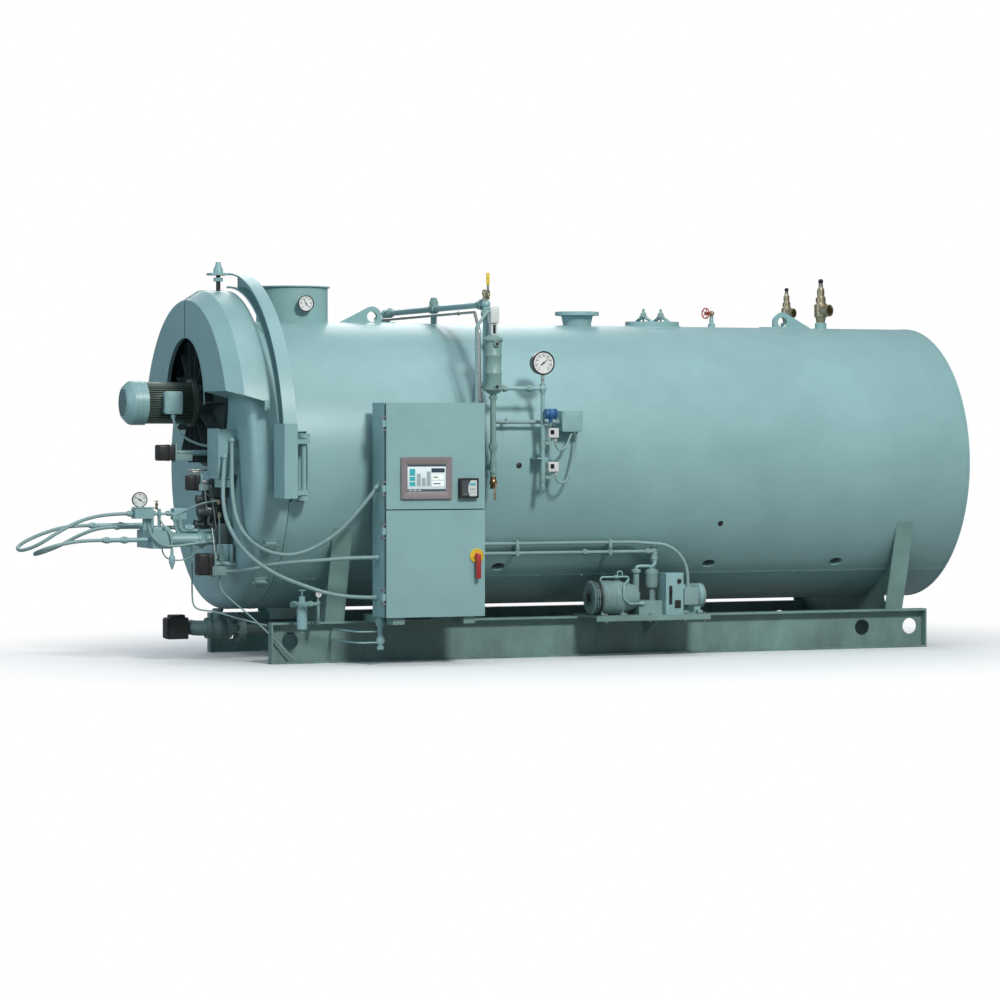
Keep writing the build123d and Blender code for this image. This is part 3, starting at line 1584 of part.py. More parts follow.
with BuildPart() as burner_gauge:
    stem_top = burner_gauge_height - burner_gauge_radius * 0.9
    upright(burner_gauge_x, burner_near_y, box_top, stem_top, burner_pipe_radius / 2)
    gauge_back = (burner_gauge_x, burner_near_y + burner_gauge_depth / 2, burner_gauge_height)
    dial(Plane(origin=gauge_back, z_dir=(0, -1, 0)), burner_gauge_radius, burner_gauge_depth)
save(burner_gauge, "burner_gauge")

with BuildPart() as burner_actuators:
    for centre, size in actuators:
        with Locations(centre):
            Box(*size)
save(burner_actuators, "burner_actuators")

# Hoses between the fuel block and its control box, the lead of the blower and the flexible conduits
upper_hose_start = (manifold_box_corner[0], burner_near_y, box_top - manifold_box[2] / 2)
upper_hose_end = (upper_feed_end, burner_far_y, burner_upper_height)
cord("oil_hose_upper", stepped((upper_hose_start, upper_hose_end), upper_hose_steps), hose_radius)
lower_hose_start = (second_feed_end, second_feed_y, second_feed_height)
lower_hose_end = (lower_feed_end, burner_near_y, burner_lower_height)
cord("oil_hose_lower", stepped((lower_hose_start, lower_hose_end), lower_hose_steps), hose_radius)
for name, gland, place, steps in (
    ("flex_conduit_upper", upper_gland, cabinet_gland_places[0], upper_run_steps),
    ("flex_conduit_lower", lower_gland, cabinet_gland_places[1], lower_run_steps),
):
    run = stepped((gland, (cabinet_left - gland_length, *place)), steps)
    start = gland + (run[0] - gland).normalized() * (gland_radius + seat_gap)
    cord(name, [start, *run], conduit_radius)
(drive_x, drive_y, drive_z), drive_size = actuators[2]
drive_start = (
    drive_x + drive_size[0] / 2 + seat_gap,
    drive_y + drive_gland_offset[0],
    drive_z + drive_gland_offset[1],
)
drive_end = (cabinet_left - gland_length, *cabinet_gland_places[2])
cord("flex_conduit_drive", stepped((drive_start, drive_end), drive_run_steps), conduit_radius)
lead_top = blower_height - terminal_box[2] / 2
lead_start = (terminal_box_x, -blower_body_radius - terminal_box[1] * 0.7, lead_top)
lead_end = (head_box_corner[0] + lead_inset, head_box_corner[1] + head_box_size[1], lead_top - lead_drop)
cord("motor_lead", stepped((lead_start, lead_end), lead_steps), lead_radius)
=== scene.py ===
# Packaged steam boiler: paint, dials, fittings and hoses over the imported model.
import json

import bmesh
import bpy
import numpy as np
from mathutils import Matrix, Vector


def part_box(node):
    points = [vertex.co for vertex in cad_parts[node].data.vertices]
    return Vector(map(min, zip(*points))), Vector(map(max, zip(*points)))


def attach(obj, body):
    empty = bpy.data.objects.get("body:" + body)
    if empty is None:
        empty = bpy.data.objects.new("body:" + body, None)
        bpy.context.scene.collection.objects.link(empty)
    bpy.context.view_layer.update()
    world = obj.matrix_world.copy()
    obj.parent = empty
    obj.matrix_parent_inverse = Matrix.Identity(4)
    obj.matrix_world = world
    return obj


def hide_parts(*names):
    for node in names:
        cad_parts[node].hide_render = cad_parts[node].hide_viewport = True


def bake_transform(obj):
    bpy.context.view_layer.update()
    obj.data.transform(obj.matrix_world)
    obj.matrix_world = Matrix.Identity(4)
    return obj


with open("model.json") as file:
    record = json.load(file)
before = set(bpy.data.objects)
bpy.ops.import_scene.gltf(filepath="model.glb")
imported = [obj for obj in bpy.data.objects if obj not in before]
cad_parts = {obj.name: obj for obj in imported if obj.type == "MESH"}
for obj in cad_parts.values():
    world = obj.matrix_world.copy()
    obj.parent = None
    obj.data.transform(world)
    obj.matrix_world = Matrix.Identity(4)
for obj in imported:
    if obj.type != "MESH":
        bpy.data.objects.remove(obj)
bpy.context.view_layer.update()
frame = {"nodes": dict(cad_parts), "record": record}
nodes = frame["nodes"]
toRear = (1, 0, 0)
toFront = (-1, 0, 0)
toFar = (0, 1, 0)
toNear = (0, -1, 0)
upward = (0, 0, 1)
downward = (0, 0, -1)


# A socket that can be written in sums: each operator adds one Math node.
class Signal:
    def __init__(self, tree, socket):
        self.tree, self.socket = tree, socket

    # Any node: its type, its settings (set first), its sockets' values or links, and which output to use.
    def make(self, kind, settings=None, sockets=None, out=0):
        node = self.tree.nodes.new(kind)
        for key, value in (settings or {}).items():
            setattr(node, key, value)
        for key, value in (sockets or {}).items():
            if isinstance(value, Signal):
                self.tree.links.new(value.socket, node.inputs[key])
            else:
                node.inputs[key].default_value = value
        return Signal(self.tree, node.outputs[out])

    def maths(self, operation, *values):
        return self.make("ShaderNodeMath", {"operation": operation}, dict(enumerate(values)))

    def __add__(self, other):
        return self.maths("ADD", self, other)

    def __sub__(self, other):
        return self.maths("SUBTRACT", self, other)

    def __rsub__(self, other):
        return self.maths("SUBTRACT", other, self)

    def __mul__(self, other):
        return self.maths("MULTIPLY", self, other)

    def __truediv__(self, other):
        return self.maths("DIVIDE", self, other)

    def __pow__(self, other):
        return self.maths("POWER", self, other)


# New finish, with its shader and its Object coordinates.
def newFinish(name, colour, rough, metal=0.0):
    finish = bpy.data.materials.new(name)
    finish.use_nodes = True
    shader = finish.node_tree.nodes["Principled BSDF"]
    shader.inputs["Base Color"].default_value = (*colour, 1)
    shader.inputs["Roughness"].default_value = rough
    shader.inputs["Metallic"].default_value = metal
    place = Signal(finish.node_tree, None).make("ShaderNodeTexCoord", out="Object")
    return finish, shader, place


# Noise value between 0 and 1 at a scale in cells per metre.
def noise(place, scale, detail=3.0, rough=0.55, stretch=None):
    if stretch:
        place = place.make("ShaderNodeMapping", sockets={"Vector": place, "Scale": stretch})
    return place.make(
        "ShaderNodeTexNoise",
        sockets={"Vector": place, "Scale": scale, "Detail": detail, "Roughness": rough})


# Share between two limits, 0 below the first and 1 above the second.
def between(value, low, high):
    return value.make("ShaderNodeMapRange", {"interpolation_type": "SMOOTHSTEP"},
                      {"Value": value, "From Min": low, "From Max": high})


def mixColour(share, first, second):
    first = (*first, 1) if isinstance(first, tuple) else first
    second = (*second, 1) if isinstance(second, tuple) else second
    return share.make("ShaderNodeMix", {"data_type": "RGBA"}, {0: share, 6: first, 7: second}, out=2)


def link(shader, socket, signal):
    signal.tree.links.new(signal.socket, shader.inputs[socket])


def bump(shader, height, strength, distance):
    normal = height.make(
        "ShaderNodeBump", sockets={"Strength": strength, "Distance": distance, "Height": height})
    link(shader, "Normal", normal)


# Sprayed enamel: slow drift of shade, orange peel, dust on faces that look up, grime towards the floor.
def enamel(name, colour, rough=0.36, drift=0.08, dust=0.1, grime=0.0, peel=0.25):
    finish, shader, place = newFinish(name, colour, rough)
    slow = noise(place, 0.9, 4.0)
    mottled = noise(place, 7.0, 5.0)
    dark = tuple(c * (1 - 1.6 * drift) for c in colour)
    light = tuple(min(1, c * (1 + drift) + 0.01) for c in colour)
    tone = mixColour(between(slow * 0.7 + mottled * 0.3, 0.32, 0.68), dark, light)
    geometry = place.make("ShaderNodeNewGeometry", out="Normal")
    up = place.make("ShaderNodeSeparateXYZ", sockets={0: geometry}, out=2)
    powder = between(up, 0.35, 1.0) * between(noise(place, 26.0, 6.0, 0.65), 0.35, 0.75) * dust
    tone = mixColour(powder, tone, (0.46, 0.47, 0.44))
    height = place.make("ShaderNodeSeparateXYZ", sockets={0: place}, out=2)
    if grime:
        streaks = noise(place, 3.0, 6.0, 0.7, (1, 1, 0.25))
        dirty = (1 - between(height, 0.0, 0.5)) * between(streaks, 0.3, 0.75) * grime
        tone = mixColour(dirty, tone, (0.07, 0.075, 0.065))
    link(shader, "Base Color", tone)
    link(shader, "Roughness", powder * 0.5 + mottled * 0.12 + (rough - 0.06))
    bump(shader, noise(place, 420.0, 2.0), peel, 0.0006)
    return finish


# Cast or turned metal with a fine grain and darker stains.
def metalFinish(name, colour, rough, stain, scale=60.0):
    finish, shader, place = newFinish(name, colour, rough, 1.0)
    cloud = noise(place, scale, 6.0, 0.6)
    link(shader, "Base Color", mixColour(between(cloud, 0.3, 0.75), colour, stain))
    link(shader, "Roughness", cloud * 0.25 + (rough - 0.1))
    bump(shader, noise(place, scale * 12, 3.0), 0.2, 0.0005)
    return finish


# Moulded plastic or rubber with a fine grain.
def moulded(name, colour, rough=0.5, grain=900.0, depth=0.2, shade=0.2):
    finish, shader, place = newFinish(name, colour, rough)
    cloud = noise(place, 40.0, 4.0)
    dark = tuple(c * (1 - shade) for c in colour)
    light = tuple(min(1, c * (1 + 0.6 * shade) + 0.004) for c in colour)
    link(shader, "Base Color", mixColour(between(cloud, 0.3, 0.7), dark, light))
    link(shader, "Roughness", cloud * 0.16 + (rough - 0.08))
    bump(shader, noise(place, grain, 2.0), depth, 0.0004)
    return finish


finishes = {
    "paint": enamel("tealEnamel", (0.25, 0.42, 0.425), drift=0.045),
    "frame_paint": enamel("baseEnamel", (0.19, 0.32, 0.295), 0.42, 0.12, 0.16, 0.55),
    "motor_paint": enamel("motorEnamel", (0.205, 0.32, 0.315), 0.4, 0.1),
    "furnace_steel": metalFinish("scaledSteel", (0.10, 0.095, 0.09), 0.62, (0.05, 0.04, 0.035)),
    "brass": metalFinish("dullBrass", (0.52, 0.45, 0.31), 0.4, (0.3, 0.25, 0.17)),
    "plain_steel": metalFinish("zincSteel", (0.5, 0.5, 0.49), 0.35, (0.34, 0.33, 0.31)),
    "black_plastic": moulded("blackCase", (0.014, 0.014, 0.015), 0.42),
    "dial_case": moulded("dialCase", (0.012, 0.012, 0.013), 0.3),
    "white_plastic": moulded("whiteCase", (0.62, 0.63, 0.61), 0.45, shade=0.08),
    "blue_paint": enamel("blueEnamel", (0.02, 0.105, 0.27), 0.32, 0.06, 0.05),
    "yellow": moulded("yellowSleeve", (0.72, 0.5, 0.03), 0.42),
    "red": enamel("redEnamel", (0.42, 0.025, 0.02), 0.34, 0.08, 0.05),
    "hose_rubber": enamel("hoseCover", (0.25, 0.38, 0.37), 0.5, 0.1, 0.12),
    "conduit_cover": enamel("conduitCover", (0.23, 0.35, 0.345), 0.48, 0.1, 0.12),
}
for part in frame["record"]["subparts"]:
    shown = nodes[part["node"]]
    shown.data.materials.clear()
    shown.data.materials.append(finishes[part["material_slot"]])
print("finishes:", len(finishes))

# Camera at the photograph's place: 122 mm on a 36 mm square frame, nearly level.
camera = {"place": (-10.5548, -24.4122, 1.7056), "turn": (np.pi / 2 - 0.0202, 0, -0.3872), "lens": 122.4}
eye = bpy.data.objects.new("camera", bpy.data.cameras.new("camera"))
eye.location, eye.rotation_euler = camera["place"], camera["turn"]
eye.data.lens, eye.data.sensor_width, eye.data.clip_end = camera["lens"], 36, 200
bpy.context.collection.objects.link(eye)
bpy.context.scene.camera = eye
bpy.context.scene.view_settings.view_transform = "Standard"

# Soft studio light: a key from the near side above, whose shadows fall straight back, weaker lamps round it
# and a pale blue dome.
lamps = {
    "key": {"place": (-0.3, -14.5, 11.0), "aim": (0, 0, 1.2), "size": 2.4, "power": 1930,
            "colour": (1, 0.99, 0.96)},
    "fill": {"place": (-17.0, -3.0, 6.0), "aim": (-1.5, 0, 1.2), "size": 8.0, "power": 680,
             "colour": (0.7, 0.86, 1)},
    "top": {"place": (0, -3.5, 12.0), "aim": (0, 0, 1.5), "size": 9.0, "power": 420,
            "colour": (0.9, 0.97, 1)},
    "back": {"place": (2.0, 12.0, 9.0), "aim": (0, 0, 1.8), "size": 8.0, "power": 700, "colour": (1, 1, 1)},
}
for name, values in lamps.items():
    lamp = bpy.data.objects.new(name, bpy.data.lights.new(name, "AREA"))
    lamp.data.energy, lamp.data.size, lamp.data.color = values["power"], values["size"], values["colour"]
    lamp.location = values["place"]
    away = lamp.location - Vector(values["aim"])
    lamp.rotation_euler = away.to_track_quat("Z", "Y").to_euler()
    bpy.context.collection.objects.link(lamp)

world = bpy.data.worlds.new("dome")
world.use_nodes = True
bpy.context.scene.world = world
dome = Signal(world.node_tree, None)
rays = {key: dome.make("ShaderNodeLightPath", out=key) for key in ("Is Camera Ray", "Is Transmission Ray")}
seen = rays["Is Camera Ray"].maths("MAXIMUM", rays["Is Camera Ray"], rays["Is Transmission Ray"])
skyNode = world.node_tree.nodes["Background"]
world.node_tree.links.new(
    mixColour(seen, (0.74, 0.87, 1.0), (1.0, 1.0, 1.0)).socket, skyNode.inputs["Color"])
world.node_tree.links.new((seen * 0.71 + 0.29).socket, skyNode.inputs["Strength"])

# Pale floor that keeps the shadow near the boiler and fades to plain white further off.
floorMesh = bpy.data.meshes.new("floor")
reach = 90.0
floorMesh.from_pydata([
    (-reach, -reach, 0), (reach, -reach, 0), (reach, reach, 0), (-reach, reach, 0)], [], [(0, 1, 2, 3)])
floor = bpy.data.objects.new("floor", floorMesh)
bpy.context.collection.objects.link(floor)
floorFinish, floorShader, floorPlace = newFinish("paleFloor", (0.86, 0.87, 0.87), 0.9)
distance = floorPlace.make(
    "ShaderNodeVectorMath", {"operation": "LENGTH"},
    {0: floorPlace.make("ShaderNodeMapping", sockets={"Vector": floorPlace, "Scale": (0.75, 1, 1)})}, out=1)
white = floorPlace.make("ShaderNodeEmission", sockets={"Color": (1, 1, 1, 1), "Strength": 1.0})
pathNode = floorPlace.make("ShaderNodeLightPath", out="Is Camera Ray")
link(floorShader, "Base Color", mixColour(pathNode, (0.3, 0.31, 0.31), (0.86, 0.87, 0.87)))
faded = floorPlace.make("ShaderNodeMixShader", sockets={0: between(distance, 1.8, 4.4) * pathNode})
floorFinish.node_tree.links.new(floorShader.outputs[0], faded.socket.node.inputs[1])
floorFinish.node_tree.links.new(white.socket, faded.socket.node.inputs[2])
floorFinish.node_tree.links.new(faded.socket, floorFinish.node_tree.nodes["Material Output"].inputs[0])
floorMesh.materials.append(floorFinish)
print("camera, lamps and floor set")


# Quads of a grid of points (rows, columns, 3) whose rows close on themselves.
def gridFaces(rows, columns):
    i, j = np.meshgrid(np.arange(rows - 1), np.arange(columns), indexing="ij")
    k = (j + 1) % columns
    return np.stack([
        i * columns + j, i * columns + k, (i + 1) * columns + k, (i + 1) * columns + j], -1).reshape(-1, 4)


# One piece from several grids, welded, faces outward, with sharp edges at turns of over 38 degrees.
def newPiece(name, grids, finish, body="boiler", stands=()):
    verts, quads, count = [], [], 0
    for grid in grids:
        rows, columns = grid.shape[:2]
        verts.append(grid.reshape(-1, 3))
        quads.append(gridFaces(rows, columns) + count)
        count += rows * columns
    mesh = bpy.data.meshes.new(name)
    mesh.from_pydata(np.concatenate(verts).tolist(), [], np.concatenate(quads).tolist())
    form = bmesh.new()
    form.from_mesh(mesh)
    bmesh.ops.remove_doubles(form, verts=form.verts, dist=1e-5)
    bmesh.ops.dissolve_degenerate(form, edges=form.edges, dist=1e-6)
    bmesh.ops.recalc_face_normals(form, faces=form.faces)
    form.to_mesh(mesh)
    form.free()
    mesh.polygons.foreach_set("use_smooth", np.ones(len(mesh.polygons), bool))
    mesh.set_sharp_from_angle(angle=np.radians(38))
    mesh.materials.append(finishes[finish] if isinstance(finish, str) else finish)
    piece = bpy.data.objects.new(name, mesh)
    bpy.context.collection.objects.link(piece)
    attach(piece, body)
    if stands:
        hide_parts(*stands)
    return piece


# A cord's line: NURBS curve with the route, in millimetres, as its control points.
def cordLine(name, route):
    curve = bpy.data.curves.new(name, "CURVE")
    curve.dimensions = "3D"
    curve.resolution_u = 14
    spline = curve.splines.new("NURBS")
    spline.points.add(len(route) - 1)
    spline.points.foreach_set("co", np.c_[np.array(route) / 1000, np.ones(len(route))].ravel())
    spline.order_u = 3
    spline.use_endpoint_u = True
    line = bpy.data.objects.new(name, curve)
    bpy.context.collection.objects.link(line)
    return line


# Round cord along its route, which replaces its node where the part has one.
def layCord(name, values, body, facets, **ends):
    piece = cordLine(name, values["route"])
    piece.data.bevel_depth, piece.data.bevel_resolution = values["radius"], facets
    piece.data.use_fill_caps = True
    piece.data.materials.append(finishes["hose_rubber"])
    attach(piece, body)
    if "node" in values:
        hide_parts(values["node"])


# Hoses and leads, in millimetres as in the part's source.
cords = {
    "oilHoseUpper": {
        "node": "oil_hose_upper", "radius": 0.013, "length": 1.657,
        "route": [(-3685, -500, 1107), (-3860, -500, 1107), (-4055, -500, 1072), (-4240, -505, 985),
                  (-4395, -510, 885), (-4500, -410, 840), (-4500, -270, 860), (-4400, -170, 910),
                  (-4260, -182, 968), (-4090, -200, 1015), (-3935, -200, 1015)]},
    "oilHoseLower": {
        "node": "oil_hose_lower", "radius": 0.013, "length": 1.359,
        "route": [(-3715, -265, 1005), (-3860, -265, 1005), (-4020, -252, 950), (-4155, -240, 875),
                  (-4275, -230, 828), (-4378, -305, 808), (-4392, -435, 832), (-4300, -528, 875),
                  (-4170, -518, 902), (-4035, -500, 915), (-3915, -500, 915)]},
    "motorLead": {"node": "motor_lead", "radius": 0.010, "length": 0.515, "route": [
        (-3290, -190.5, 1835.5), (-3290, -190.5, 1755.5), (-3225, -235.5, 1660.5), (-3120, -290.5, 1605.5),
        (-3030, -355, 1590.5), (-3030, -435, 1590.5)]},
}
for name, values in cords.items():
    stiffness = "stiff" if "Hose" in name else "medium"
    layCord(name, values, "front_head", 5, far_end="object", stiffness=stiffness)


# Round tube about a line of points: circle in the plane across the line, with a fixed side vector, closed
# by a point at both ends.
def tubeGrid(points, radius, sides):
    points = np.asarray(points, float)
    along = np.gradient(points, axis=0)
    along /= np.linalg.norm(along, axis=1, keepdims=True)
    side = np.cross(along, (0.31, 0.52, 0.795))
    side /= np.linalg.norm(side, axis=1, keepdims=True)
    turn = np.linspace(0, 2 * np.pi, sides, endpoint=False)[None, :, None]
    radius = np.broadcast_to(radius, len(points))[:, None, None]
    ring = points[:, None] + radius * (
        np.cos(turn) * side[:, None] + np.sin(turn) * np.cross(along, side)[:, None])
    ends = [np.repeat(points[k, None, None], sides, 1) for k in (0, -1)]
    return np.concatenate([ends[0], ring, ends[1]])


# Flexible conduits and two thin tubes that run from the head; a rib is a rise and fall of the radius.
conduits = {
    "flexConduitUpper": {
        "node": "flex_conduit_upper", "radius": 0.015, "length": 1.876,
        "route": [(-3006.2, -728.4, 1620.2), (-3020, -765, 1445), (-3030, -805, 1245), (-3015, -855, 1060),
                  (-2945, -910, 925), (-2830, -980, 835), (-2675, -1060, 800), (-2500, -1130, 860),
                  (-2320, -1190, 990), (-2190, -1230, 1150), (-2085, -1255, 1285)]},
    "flexConduitLower": {
        "node": "flex_conduit_lower", "radius": 0.015, "length": 1.742,
        "route": [(-3063.1, -730, 1500.4), (-3085, -765, 1365), (-3098, -800, 1190), (-3082, -838, 1045),
                  (-3010, -885, 890), (-2905, -950, 765), (-2750, -1030, 658), (-2585, -1100, 588),
                  (-2405, -1160, 525), (-2220, -1190, 500), (-2085, -1213, 498)]},
    "flexConduitDrive": {
        "node": "flex_conduit_drive", "radius": 0.015, "length": 1.245,
        "route": [(-3129.7, -660, 682), (-3069.7, -660, 682), (-2979.7, -740, 686), (-2889.7, -850, 700),
                  (-2799.7, -950, 735), (-2689.7, -1035, 755), (-2500, -1120, 768), (-2300, -1195, 785),
                  (-2170, -1240, 790), (-2085, -1255, 790)]},
    "airTube": {"radius": 0.006, "length": 1.266, "route": [
        (-3063, -600, 1072), (-3063, -605, 950), (-3068, -625, 720), (-3075, -650, 560), (-3030, -665, 500),
        (-2850, -715, 345), (-2660, -765, 150), (-2550, -775, 35)]},
    "oilTube": {"radius": 0.006, "length": 0.99, "route": [
        (-3242, -500, 865), (-3242, -500, 700), (-3242, -500, 520), (-3236, -502, 430), (-3195, -508, 395),
        (-3080, -530, 385), (-2920, -620, 330), (-2735, -712, 282)]},
}
for name, values in conduits.items():
    line = cordLine(name + "Line", values["route"])
    bare = bpy.data.meshes.new_from_object(line.evaluated_get(bpy.context.evaluated_depsgraph_get()))
    path = np.empty(len(bare.vertices) * 3)
    bare.vertices.foreach_get("co", path)
    path = path.reshape(-1, 3)
    bpy.data.objects.remove(line)
    bpy.data.meshes.remove(bare)
    run = np.r_[0, np.cumsum(np.linalg.norm(np.diff(path, axis=0), axis=1))]
    ribbed = "node" in values
    fine = np.linspace(0, run[-1], int(run[-1] / (0.0016 if ribbed else 0.008)))
    centre = np.stack([np.interp(fine, run, path[:, k]) for k in range(3)], -1)
    rib = 0.07 * (1 - np.cos(fine * 2 * np.pi / 0.0096)) / 2 if ribbed else 0
    grid = tubeGrid(centre, values["radius"] * (1 - rib), 18)
    mesh = bpy.data.meshes.new(name)
    mesh.from_pydata(grid.reshape(-1, 3).tolist(), [], gridFaces(*grid.shape[:2]).tolist())
    mesh.polygons.foreach_set("use_smooth", np.ones(len(mesh.polygons), bool))
    mesh.materials.append(finishes["conduit_cover"])
    piece = bpy.data.objects.new(name, mesh)
    bpy.context.collection.objects.link(piece)
    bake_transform(piece)
    if ribbed:
        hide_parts(values["node"])
print("cords:", len(cords) + len(conduits))


def unit(vector):
    vector = np.asarray(vector, float)
    return vector / np.linalg.norm(vector, axis=-1, keepdims=True)


# Turned form: at each step along the axis a ring of that step's radius; six sides make a hexagon.
def turned(profile, base, axis, sides=32):
    axis = unit(axis)
    side = unit(np.cross(axis, (0.31, 0.52, 0.795)))
    along, radius = np.array(profile, float).T[:, :, None, None]
    turn = np.linspace(0, 2 * np.pi, sides, endpoint=False)[:, None]
    return np.asarray(base, float) + along * axis + radius * (
        np.cos(turn) * side + np.sin(turn) * np.cross(axis, side))


# Plain round between two steps along its axis.
def stub(low, high, radius, base, axis, sides):
    return turned([(low, 0), (low, radius), (high, radius), (high, 0)], base, axis, sides)


# Low round head, drawn in towards its face.
def button(radius, face, height, base, axis, sides):
    return turned([(0, 0), (0, radius), (height, face), (height, 0)], base, axis, sides)


# Bolt with washer: hexagon head on a thin round washer, from its seat outwards.
def bolt(place, axis, across, height):
    washer = stub(0, height * 0.18, across * 0.72, place, axis, 18)
    head = [(height * 0.1, 0), (height * 0.1, across / 2), (height * 0.9, across / 2),
            (height, across * 0.42), (height, 0)]
    return [washer, turned(head, place, axis, 6)]


def bolts(places, axis, across, height):
    return sum([bolt(place, axis, across, height) for place in places], [])


# Places at even turns round an axis, starting from a direction across it.
def around(centre, axis, first, radius, count, offset=0.0):
    first, axis = unit(first), unit(axis)
    turn = np.radians(offset + np.arange(count) * 360.0 / count)[:, None]
    return np.asarray(centre, float) + radius * (
        np.cos(turn) * first + np.sin(turn) * np.cross(axis, first))


# Four corners about a middle in an upright plane that faces the near or far side.
def corners(middle, across, up):
    return [np.asarray(middle, float) + (dx, 0, dz) for dx in (-across, across) for dz in (-up, up)]


# Rounded block: rounded rectangles stacked along one axis, drawn in by a quarter round at both ends.
def roundBlock(centre, size, edge=0.006, axis=2, corner=None):
    half = np.asarray(size, float) / 2
    corner = edge if corner is None else corner
    first, second = [k for k in range(3) if k != axis]
    turn = (np.arange(32) + 0.5) / 32 * 2 * np.pi
    bend = np.linspace(0, np.pi / 2, 4)
    inset = np.concatenate([edge * (1 - np.sin(bend)), edge * (1 - np.cos(bend))])
    level = np.concatenate([
        -half[axis] + edge * (1 - np.cos(bend)), half[axis] - edge * (1 - np.sin(bend))])
    grid = np.zeros((len(level), 32, 3))
    for k, wave in ((first, np.cos(turn)), (second, np.sin(turn))):
        grid[..., k] = np.sign(wave) * (half[k] - corner) + (corner - inset[:, None]) * wave
    grid[..., axis] = level[:, None]
    caps = np.zeros((2, 32, 3))
    caps[..., axis] = level[[0, -1], None]
    return np.concatenate([caps[:1], grid, caps[1:]]) + np.asarray(centre, float)


# Rigid pipe: straight runs, each corner an exact arc as a rational curve between its tangent points.
def pipeLine(points, bend, steps=7):
    points = np.asarray(points, float)
    before, after = unit(points[1:-1] - points[:-2]), unit(points[2:] - points[1:-1])
    half = np.arccos(np.clip((before * after).sum(1), -1, 1)) / 2
    reach = (bend * np.tan(half))[:, None]
    share = np.linspace(0, 1, steps)[None, :, None]
    start, corner, end = [
        p[:, None] for p in (points[1:-1] - reach * before, points[1:-1], points[1:-1] + reach * after)]
    weight = np.cos(half)[:, None, None]
    parts = [(1 - share) ** 2, 2 * share * (1 - share) * weight, share ** 2]
    arcs = (parts[0] * start + parts[1] * corner + parts[2] * end) / sum(parts)
    return np.concatenate([points[:1], arcs.reshape(-1, 3), points[-1:]])


def rigidPipe(points, radius, bend=0.04, sides=18):
    return tubeGrid(pipeLine(points, bend) if len(points) > 2 else points, radius, sides)


# Flat plate: an outline that its middle sees whole, carried between two levels along the plate's axis.
def plate(outline, axis, low, high):
    outline = np.asarray(outline, float)
    first, second = [k for k in range(3) if k != axis]
    grid = np.zeros((4, len(outline), 3))
    grid[..., first], grid[..., second] = outline[:, 0], outline[:, 1]
    grid[[0, 3], :, first], grid[[0, 3], :, second] = outline.mean(0)
    grid[:2, :, axis], grid[2:, :, axis] = low, high
    return grid


# Hose or pipe coupling: hexagon between two round collars.
def coupling(place, axis, radius, length):
    far = np.asarray(place, float) + unit(axis) * length * 0.7
    nut = stub(length * 0.25, length * 0.75, radius * 1.25, place, axis, 6)
    collars = [stub(0, length * 0.3, radius, end, axis, 20) for end in (place, far)]
    return [collars[0], nut, collars[1]]


shell = {"radius": 1.080, "height": 1.452, "front": -2.672, "rear": 2.944}
# Near-black teal for the fan inlet and the handhole covers: painted shade for the dark inside the intake
# and for the pockets round the covers.
inletShadePaint = enamel("intakeShadeEnamel", (0.03, 0.048, 0.045), 0.55, 0.15, 0.2)
frameOlive = enamel("motorFrameEnamel", (0.085, 0.125, 0.10), 0.42, 0.12, 0.15)
for name in ("fan_inlet", "handhole_covers"):
    nodes[name].data.materials[0] = inletShadePaint

# Blower motor: fan cover with rows of holes, frame with level fins on its flanks, end bell, terminal box.
motor = {"end": -3.623, "height": 1.917, "core": 0.139, "fin": 0.016, "pitch": 0.0168,
         "crown": 0.155, "box": (-3.290, -0.1755, 1.917), "boxSize": (0.130, 0.075, 0.163)}
motorEnd = (motor["end"], 0, motor["height"])
cover = [(0, 0), (0, 0.112), (0.004, 0.120), (0.034, 0.150), (0.044, 0.158), (0.054, 0.163), (0.064, 0.165),
         (0.071, 0.165), (0.072, 0.1632), (0.076, 0.1632), (0.077, 0.165), (0.110, 0.165), (0.111, 0.1632),
         (0.115, 0.1632), (0.116, 0.165), (0.163, 0.165), (0.163, 0)]
newPiece("fanCover", [turned(cover, motorEnd, toRear, 64)], "paint", "front_head", stands=["blower_motor"])
row = np.arange(-6, 7) * 0.0175
holeY, holeZ = np.meshgrid(row, row * 0.866)
holeY = holeY + (np.arange(13) % 2)[:, None] * 0.00875
kept = np.hypot(holeY, holeZ) < 0.106
# Each hole is a black disc laid on the cover: painted shade of the opening.
holeShadeDiscs = [stub(-0.0004, 0.001, 0.0062, (motor["end"], y, motor["height"] + z), toRear, 12)
         for y, z in zip(holeY[kept], holeZ[kept])]
newPiece("fanCoverHoleShade", holeShadeDiscs, "black_plastic", "front_head")
turn = np.linspace(0, 2 * np.pi, 1440, endpoint=False)
level = motor["crown"] * np.sin(turn)
flank = np.abs(np.sin(turn)) < 0.8
rib = np.mod(level / motor["pitch"] + 0.25, 1) < 0.42
outline = np.where(flank, motor["core"] + motor["fin"] * rib, motor["crown"])
along = np.array([0.163, 0.163, 0.170, 0.505, 0.512, 0.512])[:, None] + motor["end"]
share = np.array([0, 0.97, 1, 1, 0.97, 0])[:, None] * outline
newPiece("motorFrame",
         [np.stack([along + 0 * share, share * np.cos(turn), motor["height"] + share * np.sin(turn)], -1)],
         frameOlive, "front_head")
bell = [(0.505, 0), (0.505, 0.150), (0.512, 0.152), (0.513, 0.176), (0.538, 0.176), (0.538, 0)]
bellPlaces = around((motor["end"] + 0.513, 0, motor["height"]), toRear, toFar, 0.165, 8, offset=22.5)
bellBolts = bolts(bellPlaces, toFront, 0.02, 0.012)
newPiece("motorBell", [turned(bell, motorEnd, toRear, 48), *bellBolts], frameOlive, "front_head")
boxX, boxY, boxZ = motor["box"]
lidY = boxY - motor["boxSize"][1] / 2
screws = [turned([(0, 0), (0, 0.006), (0.004, 0.005), (0.005, 0)], p, toNear, 12)
          for p in corners((boxX, lidY - 0.004, boxZ), 0.055, 0.07)]
